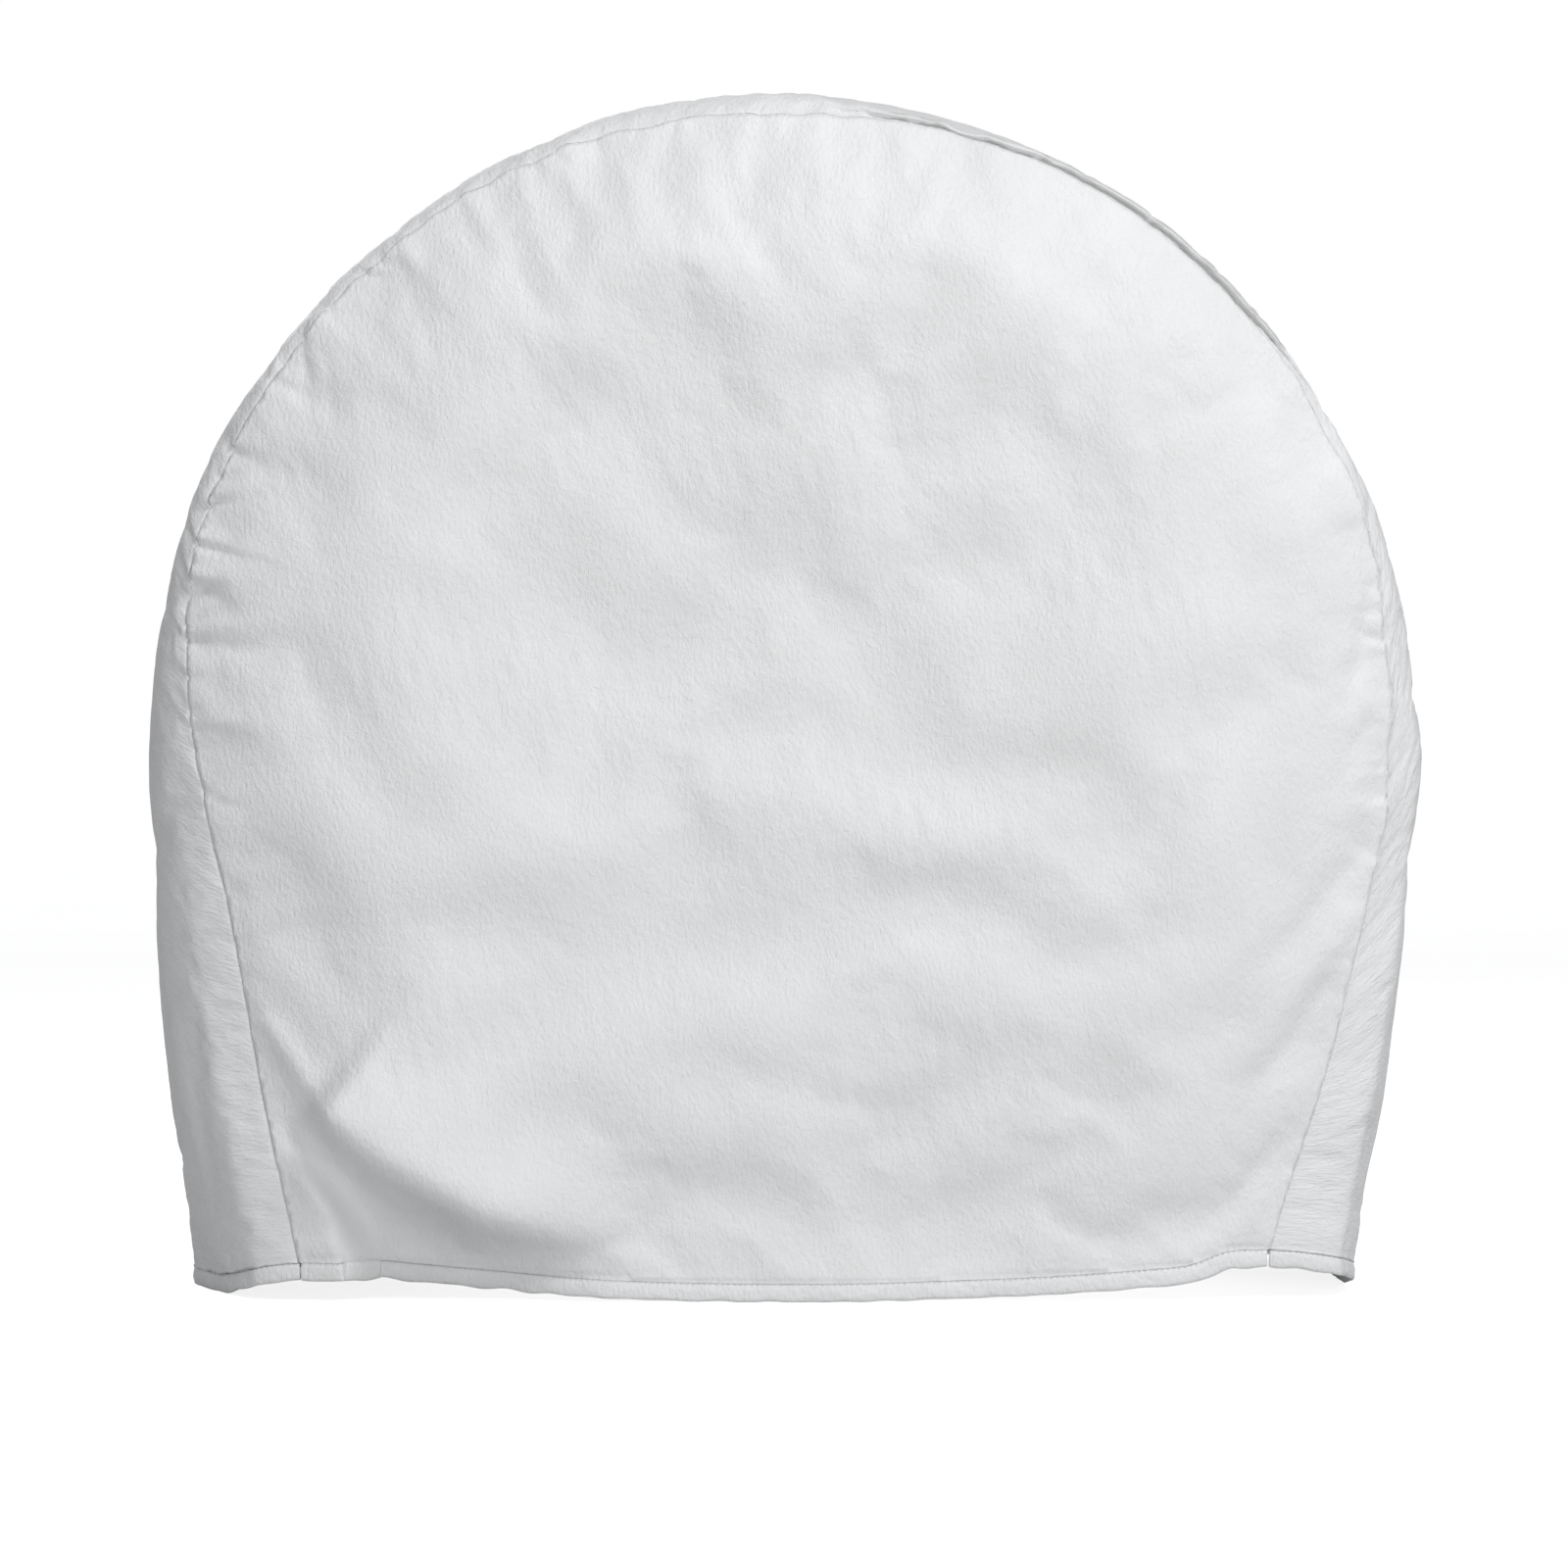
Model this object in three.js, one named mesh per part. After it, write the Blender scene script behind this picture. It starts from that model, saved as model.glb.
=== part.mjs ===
// A slip-on wheel cover for an RV or caravan tyre, cut and sewn from white vinyl with a felt lining.
// A front panel and a tread band make the shell. A horseshoe of rear panels hooks behind the tyre,
// and its two lower legs open backwards on the rear seam so that the cover can be pulled over the wheel.
//
// Millimetres. X runs across the cover, Y from the front panel to the rear opening, and Z up.
// The origin is under the middle of the cover, on the plane that its hems stand on.
import * as THREE from "three";

// Arches: a circle about the axle, with a straight leg tangent to it on each side down to the hem.
const axleZ = 344;
const frontSeam = { radius: 360, hemHalf: 288 };
const frontShoulder = { radius: 373, hemHalf: 318 };
const treadFront = { radius: 381, hemHalf: 336 };
const tread = { radius: 381, hemHalf: 352 };
const treadRear = { radius: 378, hemHalf: 352 };
const rearShoulder = { radius: 365, hemHalf: 352 };
const rearSeam = { radius: 352, hemHalf: 352 };
const rearOpening = { radius: 232, hemHalf: 232 };

// Depths, from the front seam backwards.
const bandDepth = 230;
const shoulderDepth = { crown: 12, hem: 5 };
const treadStart = 45;
const treadFull = { crown: 80, hem: 100 };
const treadEnd = 190;
const rearShoulderDepth = 222;
const frontRise = 34;
const hubHollow = 12;

// Cloth and trim.
const vinyl = 0.6;
const felt = 1.2;
const gap = 0.3;
const liningGap = 1.2;
const hemHeight = 12;
const hemProud = 0.8;
const hemThickness = 3.6;
const liningInset = 6;
const bindingWidth = 9;
const bindingThickness = 2.4;
const bindingStandoff = 5;
const casingWidth = 14;
const casingThickness = 5;
const casingWall = 1.5;
const elasticWidth = 10;
const elasticThickness = 1.5;
const centreTape = { width: 24, length: 86, thickness: 0.8 };

// The legs of the rear panels are cut free below legTop, and their own hems clear the ground.
const legTop = 250;
const legHemZ = 22;
const hingeInset = 2;

// How finely round stretches are divided.
const legShare = 0.2;
const legSteps = 4;
const arcSteps = 28;
const panelRings = 10;
const hemSteps = 16;

const aboveHem = hemHeight + gap;
const feltOffset = vinyl + liningGap;
const rearPlane = bandDepth + gap;
const casingMiddle = rearPlane + vinyl / 2;
const casingBack = casingMiddle + casingThickness / 2;
const middleY = (casingBack - frontRise) / 2;

const cloth = (color, roughness) => new THREE.MeshStandardMaterial({ color, roughness, metalness: 0 });
const whiteVinyl = cloth(0xe6e6e6, 0.55);
const whiteFelt = cloth(0xdedcd6, 0.95);
const bindingTape = cloth(0xe2e2e0, 0.8);
const knittedElastic = cloth(0xf0f0ee, 0.85);

const lerp = THREE.MathUtils.lerp;
const smooth = (x) => THREE.MathUtils.smoothstep(x, 0, 1);
const shrink = (arch, inset) => ({ radius: arch.radius - inset, hemHalf: arch.hemHalf - inset });

// Where an arch's legs meet its circle: the angle below the axle's level, negative downwards.
function springAngle({ radius, hemHalf }) {
  const reach = Math.hypot(hemHalf, axleZ);
  return Math.acos(Math.min(1, radius / reach)) - Math.atan2(axleZ, hemHalf);
}

// A point of an arch in X and Z. t runs from 0 at the left foot over the crown to 1 at the right foot.
function archPoint(arch, t, footZ) {
  const side = t < 0.5 ? -1 : 1;
  const climbed = Math.min(t, 1 - t);
  const spring = springAngle(arch);
  const springX = arch.radius * Math.cos(spring);
  const springZ = axleZ + arch.radius * Math.sin(spring);
  if (climbed < legShare) {
    const z = lerp(footZ, springZ, climbed / legShare);
    return new THREE.Vector2(side * lerp(arch.hemHalf, springX, z / springZ), z);
  }
  const angle = lerp(spring, Math.PI / 2, (climbed - legShare) / (0.5 - legShare));
  return new THREE.Vector2(side * arch.radius * Math.cos(angle), axleZ + arch.radius * Math.sin(angle));
}

// The places along an arch where a sweep has a ring: legSteps on each leg, and arcSteps round the circle.
function stations(from, to) {
  const inner = [];
  for (let i = 1; i < legSteps; i++) inner.push((legShare * i) / legSteps, 1 - (legShare * i) / legSteps);
  for (let i = 0; i <= arcSteps; i++) inner.push(lerp(legShare, 1 - legShare, i / arcSteps));
  const between = inner.filter((t) => t > from + 1e-6 && t < to - 1e-6).sort((a, b) => a - b);
  return [from, ...between, to];
}

// A geometry from points and triangles, turned so that its faces point out.
function solid(points, triangles) {
  const [a, b, c] = [0, 1, 2].map(() => new THREE.Vector3());
  let volume = 0;
  for (const [i, j, k] of triangles) {
    volume += a.copy(points[i]).dot(b.copy(points[j]).cross(c.copy(points[k])));
  }
  const facingOut = volume > 0 ? triangles : triangles.map(([i, j, k]) => [i, k, j]);
  const geometry = new THREE.BufferGeometry().setFromPoints(points);
  geometry.setIndex(facingOut.flat());
  geometry.computeVertexNormals();
  return geometry;
}

// A section swept along an arch. Its corners are { radius, y, hemHalf, hemY }, in order round the section:
// radius and y round the circle, changing to hemHalf and hemY down each leg.
function archSweep(corners, footZ, from = 0, to = 1) {
  const rings = stations(from, to);
  const count = corners.length;
  const points = rings.flatMap((t) =>
    corners.map((corner) => {
      const at = archPoint(corner, t, footZ);
      const legs = Math.min(1, Math.min(t, 1 - t) / legShare);
      return new THREE.Vector3(at.x, lerp(corner.hemY ?? corner.y, corner.y, legs), at.y);
    }),
  );
  const triangles = [];
  for (let ring = 0; ring < rings.length - 1; ring++) {
    for (let i = 0; i < count; i++) {
      // Each quad is split from its forward corner, so that one face inside another has the same facets.
      const ends = [i, (i + 1) % count].map((corner) => ring * count + corner);
      const [front, rear] = ends.toSorted((a, b) => points[a].y - points[b].y);
      const turned = front === ends[0];
      triangles.push(turned ? [front, rear, rear + count] : [rear, front, rear + count]);
      triangles.push(turned ? [front, rear + count, front + count] : [front, front + count, rear + count]);
    }
  }
  const outline = corners.map(({ radius, y }) => new THREE.Vector2(radius, y));
  const last = (rings.length - 1) * count;
  // The cap's triangles follow the outline's own turn, so that they match the sides.
  const clockwise = THREE.ShapeUtils.isClockWise(outline);
  for (const [i, j, k] of THREE.ShapeUtils.triangulateShape(clockwise ? outline.toReversed() : outline, [])) {
    const [a, b, c] = clockwise ? [count - 1 - k, count - 1 - j, count - 1 - i] : [i, j, k];
    triangles.push([c, b, a], [a + last, b + last, c + last]);
  }
  return solid(points, triangles);
}

// A rectangle for archSweep: from an arch inwards by width, and from y by thickness.
function strip(arch, width, y, thickness) {
  const inner = shrink(arch, width);
  return [
    { ...arch, y },
    { ...arch, y: y + thickness },
    { ...inner, y: y + thickness },
    { ...inner, y },
  ];
}

// The tread band's course from the front seam to the rear seam.
const bandCourse = [
  { ...frontSeam, y: vinyl + gap },
  { ...frontShoulder, y: shoulderDepth.crown, hemY: shoulderDepth.hem },
  { ...treadFront, y: treadStart },
  { ...tread, y: treadFull.crown, hemY: treadFull.hem },
  { ...treadRear, y: treadEnd },
  { ...rearShoulder, y: rearShoulderDepth },
  { ...rearSeam, y: bandDepth },
];

// A line in a section moved inwards by a distance, square to itself.
function moveInwards(line, distance) {
  return line.map((point, i) => {
    const neighbours = [line.slice(i - 1, i + 1), line.slice(i, i + 2)].filter((pair) => pair.length === 2);
    const normals = neighbours.map(([a, b]) => new THREE.Vector2(a.y - b.y, b.x - a.x).normalize());
    const inwards = normals.reduce((sum, normal) => sum.add(normal), new THREE.Vector2()).normalize();
    return point.clone().addScaledVector(inwards, distance / inwards.dot(normals[0]));
  });
}

// The tread band's course, moved inwards by a distance round the circle and down the legs alike.
function bandFace(distance) {
  const roundCircle = bandCourse.map(({ radius, y }) => new THREE.Vector2(radius, y));
  const atHem = bandCourse.map(({ hemHalf, y, hemY = y }) => new THREE.Vector2(hemHalf, hemY));
  const hems = moveInwards(atHem, distance);
  return moveInwards(roundCircle, distance).map(({ x: radius, y }, i) => {
    return { radius, y, hemHalf: hems[i].x, hemY: hems[i].y };
  });
}

const bandLayer = (outside, thickness) => [...bandFace(outside), ...bandFace(outside + thickness).reverse()];

// How far the front panel stands forward of its seam: it swells over the tyre's wall and dips at the hub.
function frontBulge(x, z) {
  const reach = Math.hypot(x, z - axleZ) / frontSeam.radius;
  return frontRise * smooth((1 - reach) / 0.28) - hubHollow * (1 - smooth(reach / 0.6));
}

// The front panel's outline in X and Z: up the left leg, over the crown, down the right leg, back along the hem.
function panelOutline() {
  const arch = stations(0, 1).map((t) => archPoint(frontSeam, t, aboveHem));
  const [left, right] = [arch[0], arch.at(-1)];
  for (let i = 1; i < hemSteps; i++) arch.push(right.clone().lerp(left, i / hemSteps));
  return arch;
}

// A layer of the front panel, in rings from its outline to the hub.
// Its rim is drawn in along the panel's own facets by the inset.
function frontLayer(inset, outside, thickness) {
  const hub = new THREE.Vector2(0, axleZ);
  const onPanel = ({ x, y: z }) => new THREE.Vector3(x, outside - frontBulge(x, z), z);
  const outline = panelOutline();
  const rings = Array.from({ length: panelRings }, (_, ring) =>
    outline.map((point) => onPanel(point.clone().lerp(hub, ring / panelRings))),
  );
  rings[0] = rings[0].map((rim, i) => rim.lerp(rings[1][i], inset / rim.distanceTo(rings[1][i])));
  const front = [...rings.flat(), onPanel(hub)];
  const back = front.map((p) => p.clone().setY(p.y + thickness));
  const count = front.length;
  const around = outline.length;
  const triangles = [];
  const bothFaces = (i, j, k) => triangles.push([i, j, k], [i + count, k + count, j + count]);
  for (let i = 0; i < around; i++) {
    const next = (i + 1) % around;
    for (let ring = 0; ring < panelRings - 1; ring++) {
      const [outer, inner] = [ring * around, (ring + 1) * around];
      bothFaces(outer + i, outer + next, inner + next);
      bothFaces(outer + i, inner + next, inner + i);
    }
    const last = (panelRings - 1) * around;
    bothFaces(last + i, last + next, count - 1);
    triangles.push([next, i, i + count], [next, i + count, next + count]);
  }
  return solid([...front, ...back], triangles);
}

// A folded hem: a line in plan, given a thickness and raised by the hem's height.
function hem(outer, inner) {
  const shape = new THREE.Shape([...outer, ...inner.toReversed()]);
  return new THREE.ExtrudeGeometry(shape, { depth: hemHeight, bevelEnabled: false });
}

function frontHem() {
  const reach = frontSeam.hemHalf - liningInset;
  const line = (proud) =>
    Array.from({ length: hemSteps + 1 }, (_, i) => {
      const x = lerp(-reach, reach, i / hemSteps);
      return new THREE.Vector2(x, -frontBulge(x, hemHeight) - proud);
    });
  return hem(line(hemProud), line(hemProud - hemThickness));
}

function bandHem(side) {
  const inPlan = ({ hemHalf, hemY }) => new THREE.Vector2(side * hemHalf, hemY);
  const line = (proud) => bandFace(-proud).map(inPlan);
  return hem(line(hemProud), line(hemProud - hemThickness));
}

// The elastic's casing: a fold of vinyl round the elastic, open towards the rear panel.
function casingOutline() {
  const half = casingThickness / 2;
  return [
    [0, -half],
    [casingWidth, -half],
    [casingWidth, casingWall - half],
    [casingWall, casingWall - half],
    [casingWall, half - casingWall],
    [casingWidth, half - casingWall],
    [casingWidth, half],
    [0, half],
  ];
}

function archCasing(from, to) {
  const corners = casingOutline().map(([out, y]) => ({ ...shrink(rearOpening, -out), y: casingMiddle + y }));
  return archSweep(corners, legTop + gap, from, to);
}

function archElastic(from, to) {
  const outer = shrink(rearOpening, -(casingWall + gap + elasticWidth));
  const section = strip(outer, elasticWidth, casingMiddle - elasticThickness / 2, elasticThickness);
  return archSweep(section, legTop + gap, from, to);
}

function rearPanel(edge, y, thickness, from, to) {
  const arch = shrink(rearSeam, edge);
  const width = rearSeam.radius - edge - rearOpening.radius - casingWidth - gap;
  return archSweep(strip(arch, width, y, thickness), legTop + gap, from, to);
}

// A leg's box, from the distances of its outer and inner edge from the middle of the cover.
function legBox(side, outer, inner, y, thickness, bottom, top) {
  const box = new THREE.BoxGeometry(outer - inner, thickness, top - bottom);
  return box.translate((side * (outer + inner)) / 2, y + thickness / 2, (bottom + top) / 2);
}

function legCasing(side, bottom) {
  const outline = casingOutline().map(([out, y]) => new THREE.Vector2(side * (rearOpening.hemHalf + out), y));
  const settings = { depth: legTop - bottom, bevelEnabled: false };
  return new THREE.ExtrudeGeometry(new THREE.Shape(outline), settings).translate(0, casingMiddle, bottom);
}

const cover = new THREE.Group();
cover.position.y = -middleY;

function add(name, geometry, material) {
  const mesh = new THREE.Mesh(geometry, material);
  mesh.name = name;
  cover.add(mesh);
}

add("front_panel", frontLayer(0, 0, vinyl), whiteVinyl);
add("front_lining", frontLayer(liningInset, feltOffset, felt), whiteFelt);
add("front_hem", frontHem(), whiteVinyl);
add("tread_band", archSweep(bandLayer(0, vinyl), aboveHem), whiteVinyl);
add("band_lining", archSweep(bandLayer(feltOffset, felt), aboveHem), whiteFelt);
add("left_band_hem", bandHem(-1), whiteVinyl);
add("right_band_hem", bandHem(1), whiteVinyl);

function seamBinding(arch, y) {
  return archSweep(strip(arch, bindingWidth, y, bindingThickness), aboveHem);
}

add("front_seam_binding", seamBinding(shrink(frontSeam, bindingStandoff), bindingStandoff), bindingTape);
add("rear_seam_binding", seamBinding(shrink(rearSeam, bindingWidth), bandDepth - bindingWidth), bindingTape);

const liningY = rearPlane - gap - felt;
const crownGap = 0.0005;
const halves = [
  { side: -1, name: "left", from: 0, to: 0.5 - crownGap },
  { side: 1, name: "right", from: 0.5 + crownGap, to: 1 },
];
for (const { side, name, from, to } of halves) {
  add(`rear_panel_${name}`, rearPanel(0, rearPlane, vinyl, from, to), whiteVinyl);
  add(`rear_lining_${name}`, rearPanel(liningInset, liningY, felt, from, to), whiteFelt);
  add(`rear_casing_${name}`, archCasing(from, to), whiteVinyl);
  add(`rear_elastic_${name}`, archElastic(from, to), knittedElastic);

  const seamX = rearSeam.hemHalf;
  const openingX = rearOpening.hemHalf;
  const panelX = openingX + casingWidth + gap;
  const bottom = legHemZ + hemHeight + gap;
  const panel = legBox(side, seamX - hingeInset, panelX, rearPlane, vinyl, bottom, legTop);
  add(`${name}_flap_panel`, panel, whiteVinyl);
  const lining = legBox(side, seamX - liningInset, panelX, liningY, felt, bottom, legTop);
  add(`${name}_flap_lining`, lining, whiteFelt);
  add(`${name}_flap_casing`, legCasing(side, bottom), whiteVinyl);
  const elasticX = openingX + casingWall + gap;
  const elasticY = casingMiddle - elasticThickness / 2;
  const elastic = legBox(side, elasticX + elasticWidth, elasticX, elasticY, elasticThickness, bottom, legTop);
  add(`${name}_flap_elastic`, elastic, knittedElastic);
  const hemY = rearPlane + hemProud - hemThickness;
  const flapHem = legBox(side, seamX - liningInset, openingX, hemY, hemThickness, legHemZ, legHemZ + hemHeight);
  add(`${name}_flap_hem`, flapHem, whiteVinyl);
}

const tapeY = liningY - gap - centreTape.thickness / 2;
const tapeZ = axleZ + (rearSeam.radius + rearOpening.radius) / 2;
const tape = new THREE.BoxGeometry(centreTape.width, centreTape.thickness, centreTape.length);
add("rear_centre_seam_tape", tape.translate(0, tapeY, tapeZ), bindingTape);

export default cover;
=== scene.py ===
"""The finished look of a slip-on wheel cover: white vinyl cloth on felt, sewn into an arch over a tyre.

Metres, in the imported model's frame: X across, Y from the front panel to the rear opening, Z up from the hems.
"""
import math

import bmesh
import bpy
import numpy as np
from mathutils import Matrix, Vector
from mathutils.geometry import delaunay_2d_cdt
from mathutils.kdtree import KDTree


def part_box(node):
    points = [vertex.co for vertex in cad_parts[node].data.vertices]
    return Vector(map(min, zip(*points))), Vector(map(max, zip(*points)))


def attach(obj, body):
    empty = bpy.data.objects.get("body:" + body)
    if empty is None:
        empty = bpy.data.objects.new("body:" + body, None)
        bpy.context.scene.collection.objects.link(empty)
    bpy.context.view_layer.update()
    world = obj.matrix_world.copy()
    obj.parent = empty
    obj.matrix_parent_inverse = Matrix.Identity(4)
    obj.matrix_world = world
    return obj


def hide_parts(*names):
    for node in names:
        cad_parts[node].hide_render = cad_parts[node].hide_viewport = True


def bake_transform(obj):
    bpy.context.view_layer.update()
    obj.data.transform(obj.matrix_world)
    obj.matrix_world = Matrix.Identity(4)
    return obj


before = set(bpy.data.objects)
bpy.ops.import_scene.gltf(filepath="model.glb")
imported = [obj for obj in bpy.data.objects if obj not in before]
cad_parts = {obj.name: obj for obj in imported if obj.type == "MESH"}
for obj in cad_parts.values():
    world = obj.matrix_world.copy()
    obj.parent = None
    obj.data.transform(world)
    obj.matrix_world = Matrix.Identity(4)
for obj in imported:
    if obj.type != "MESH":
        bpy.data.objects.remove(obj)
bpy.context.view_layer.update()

# ---------------------------------------------------------------- sizes, from the frame
TREAD_LOW, TREAD_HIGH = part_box("tread_band")
FRONT_HEM_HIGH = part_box("front_hem")[1]
FLAP_HEM_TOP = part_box("right_flap_hem")[1].z
CASING_LOW, CASING_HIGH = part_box("right_flap_casing")
TAPE_LOW, TAPE_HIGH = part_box("rear_centre_seam_tape")
AXLE_Z = TREAD_HIGH.z - TREAD_HIGH.x
SEAM_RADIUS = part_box("front_panel")[1].x
FRONT_Y = TREAD_LOW.y
SEAM_FOOT = FRONT_HEM_HIGH.x + 0.006
OPENING = CASING_LOW.x
REAR_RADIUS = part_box("rear_panel_right")[1].x
REAR_CLOTH_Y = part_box("right_flap_panel")[0].y
CASING_WIDTH = CASING_HIGH.x - CASING_LOW.x

MM = 0.001
BACK = np.array([0, 1.0, 0])
# The share of an arch's t that each leg takes.
LEG = 0.15
STITCH_LINE = FRONT_HEM_HIGH.z - 1.3 * MM
SEAM_LENGTH = math.pi * SEAM_RADIUS + 2 * AXLE_Z


# ---------------------------------------------------------------- shape helpers
def smooth(x):
    x = np.clip(x, 0, 1)
    return x * x * (3 - 2 * x)


def lerp(a, b, w):
    return a + (b - a) * w


def unit(vectors):
    """The same directions with a length of 1."""
    return vectors / np.maximum(np.linalg.norm(vectors, axis=-1, keepdims=True), 1e-12)


def reach_along(path):
    """How far along a path each of its points lies."""
    return np.concatenate([[0], np.cumsum(np.linalg.norm(np.diff(path, axis=0), axis=1))])


def crossed(down, across):
    """A grid of pairs: every value of the first list with every value of the second."""
    return np.stack(np.broadcast_arrays(down[:, None], across[None, :]), 2)


def waves(points, wavelength, seed, count=28, spread=0.35):
    """Smooth random waves of about one wavelength and a standard deviation of 1, at points in any space."""
    points = np.asarray(points, float)
    points = points[:, None] if points.ndim == 1 else points
    rng = np.random.default_rng(seed)
    direction = unit(rng.normal(size=(count, points.shape[1])))
    pace = 2 * math.pi / (wavelength * np.exp(rng.uniform(-spread, spread, count)))
    phase = rng.uniform(0, 2 * math.pi, count)
    total = np.zeros(len(points))
    for d, k, p in zip(direction, pace, phase):
        total += np.sin(points @ d * k + p)
    return total * math.sqrt(2 / count)


def arch(radius, foot_half, t, foot=0.0, bow=0.0):
    """X and Z on an arch: a circle about the axle with a tangent leg on each side.

    t goes from the left foot over the crown to the right foot. Each leg may bow outwards in its middle.
    """
    side = np.where(t < 0.5, -1.0, 1.0)
    climbed = np.minimum(t, 1 - t)
    spring = np.arccos(np.minimum(1, radius / np.hypot(foot_half, AXLE_Z))) - np.arctan2(AXLE_Z, foot_half)
    spring_x, spring_z = radius * np.cos(spring), AXLE_Z + radius * np.sin(spring)
    s = np.clip(climbed / LEG, 0, 1)
    angle = lerp(spring, math.pi / 2, np.clip((climbed - LEG) / (0.5 - LEG), 0, 1))
    leg_z = lerp(foot, spring_z, s)
    leg_x = lerp(foot_half, spring_x, leg_z / spring_z) + bow * np.sin(math.pi * s) ** 2
    on_leg = climbed < LEG
    x = np.where(on_leg, leg_x, radius * np.cos(angle))
    return side * x, np.where(on_leg, leg_z, AXLE_Z + radius * np.sin(angle))


def grid_faces(rows, columns, closed=False):
    """Quads over a grid of rows by columns points, joined round the columns if closed."""
    last = columns if closed else columns - 1
    r, c = np.meshgrid(np.arange(rows - 1), np.arange(last), indexing="ij")
    a = (r * columns + c).ravel()
    b = (r * columns + (c + 1) % columns).ravel()
    return np.stack([a, b, b + columns, a + columns], 1)


def grid_rim(rows, columns):
    """The numbers of the points round the edge of a grid."""
    index = np.arange(rows * columns).reshape(rows, columns)
    return np.unique(np.concatenate([index[0], index[-1], index[:, 0], index[:, -1]]))


def make(name, points, faces, uv, material, body="shell", stands_for=(), blend=None):
    """A piece of the model. uv is in metres along the cloth, so that the grain keeps its size."""
    mesh = bpy.data.meshes.new(name)
    mesh.from_pydata(np.asarray(points, float).tolist(), [], [list(map(int, f)) for f in faces])
    layer = mesh.uv_layers.new(name="cloth")
    corner = np.zeros(len(mesh.loops), int)
    mesh.loops.foreach_get("vertex_index", corner)
    layer.data.foreach_set("uv", np.asarray(uv, np.float32)[corner].ravel())
    mesh.polygons.foreach_set("use_smooth", np.ones(len(mesh.polygons), bool))
    mesh.materials.append(material)
    mesh.validate()
    piece = bpy.data.objects.new(name, mesh)
    bpy.context.scene.collection.objects.link(piece)
    if blend:
        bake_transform(piece)
    else:
        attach(piece, body)
    if stands_for:
        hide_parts(*stands_for)
    return piece


def open_edges(faces):
    """The edges that only one face has, in that face's direction."""
    found = {}
    for face in faces:
        corners = [int(i) for i in face]
        for a, b in zip(corners, corners[1:] + corners[:1]):
            if (b, a) in found:
                del found[(b, a)]
            else:
                found[(a, b)] = True
    return list(found)


def thicken(points, faces, normals, thickness):
    """A closed solid from an open sheet: a copy is set against the normals, and the rim is joined."""
    count = len(points)
    back = points - normals * thickness
    solid = [tuple(f) for f in faces] + [tuple(int(i) + count for i in reversed(f)) for f in faces]
    solid += [(b, a, a + count, b + count) for a, b in open_edges(faces)]
    return np.vstack([points, back]), solid


def grid_normals(grid):
    """Unit normals of a grid of points, rows by columns by 3."""
    return unit(np.cross(np.gradient(grid, axis=1), np.gradient(grid, axis=0)))


def double(grid, axis):
    """Twice as fine a grid along one axis, with each new point on a cubic through its four neighbours."""
    grid = np.moveaxis(grid, axis, 0)
    padded = np.concatenate([2 * grid[:1] - grid[1:2], grid, 2 * grid[-1:] - grid[-2:-1]])
    middle = (9 * (padded[1:-2] + padded[2:-1]) - padded[:-3] - padded[3:]) / 16
    fine = np.empty((2 * len(grid) - 1,) + grid.shape[1:])
    fine[0::2], fine[1::2] = grid, middle
    return np.moveaxis(fine, 0, axis)


# ---------------------------------------------------------------- the front seam and its puckers
def seam_curve(t):
    """The front seam: where the panel meets the band, a little wavy, and lifted at its feet."""
    x, z = arch(SEAM_RADIUS, SEAM_FOOT, t, foot=STITCH_LINE, bow=2 * MM)
    spread = 1 + seam_spread(t) / SEAM_RADIUS
    x, z = x * spread, lerp(z, AXLE_Z + (z - AXLE_Z) * spread, smooth((z - 0.2) / 0.14))
    s = t * SEAM_LENGTH
    wander = 0.9 * MM * waves(s, 0.09, 11) + 0.5 * MM * waves(s, 0.03, 12)
    calm = (0.12 + 0.88 * smooth((np.minimum(t, 1 - t) - 0.13) / 0.07)) * (1 - 0.6 * channel(t))
    calm = calm * smooth(np.minimum(t, 1 - t) / 0.04)
    out = outward(np.stack([x, x, z], 1))
    x, z = x + out[:, 0] * wander * calm, z + out[:, 2] * wander * calm
    y = np.full_like(x, FRONT_Y) + 1.0 * MM * waves(s, 0.07, 13) * calm + channel(t) * 2.5 * MM
    return np.stack([x, y, z + lift(x, z)], 1)


# How the worn cover hangs off a true arch, at the front seam and over the tread: places along the arch, 0 at
# the left foot and 1 at the right, and millimetres outwards.
SEAM_EASE = (
    (0, 0), (0.10, -12), (0.15, -13), (0.19, -8), (0.25, 8), (0.42, 8.5), (0.50, 4), (0.60, 10), (0.74, 8.5),
    (0.79, 2), (0.86, 5), (1, 0),
)
TREAD_EASE = (
    (0, 6), (0.12, 6.5), (0.165, 1), (0.25, -4), (0.345, -8), (0.41, -5), (0.50, -1), (0.62, -3),
    (0.68, -7.5), (0.73, -7.5), (0.76, -3.5), (0.81, -1), (0.845, 5.5), (0.92, -2.5), (1, -5),
)


def eased(t, table):
    """Millimetres read from a table of places along the arch, rounded off between them."""
    places, sizes = np.array(table, float).T
    reach = np.linspace(-0.018, 0.018, 9)
    return np.mean([np.interp(np.clip(t + r, 0, 1), places, sizes) for r in reach], 0) * MM


def seam_spread(t):
    """How far the seam is pulled out towards the tread over the top, and drawn in down the left leg."""
    return eased(t, SEAM_EASE)


def channel(t):
    """How deep the seam lies behind the band's edge: only over the upper right."""
    return smooth((t - 0.49) / 0.05) * smooth((0.74 - t) / 0.08)


# The height at which the lift of the hem has died away.
LIFT_REACH = 0.17


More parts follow.
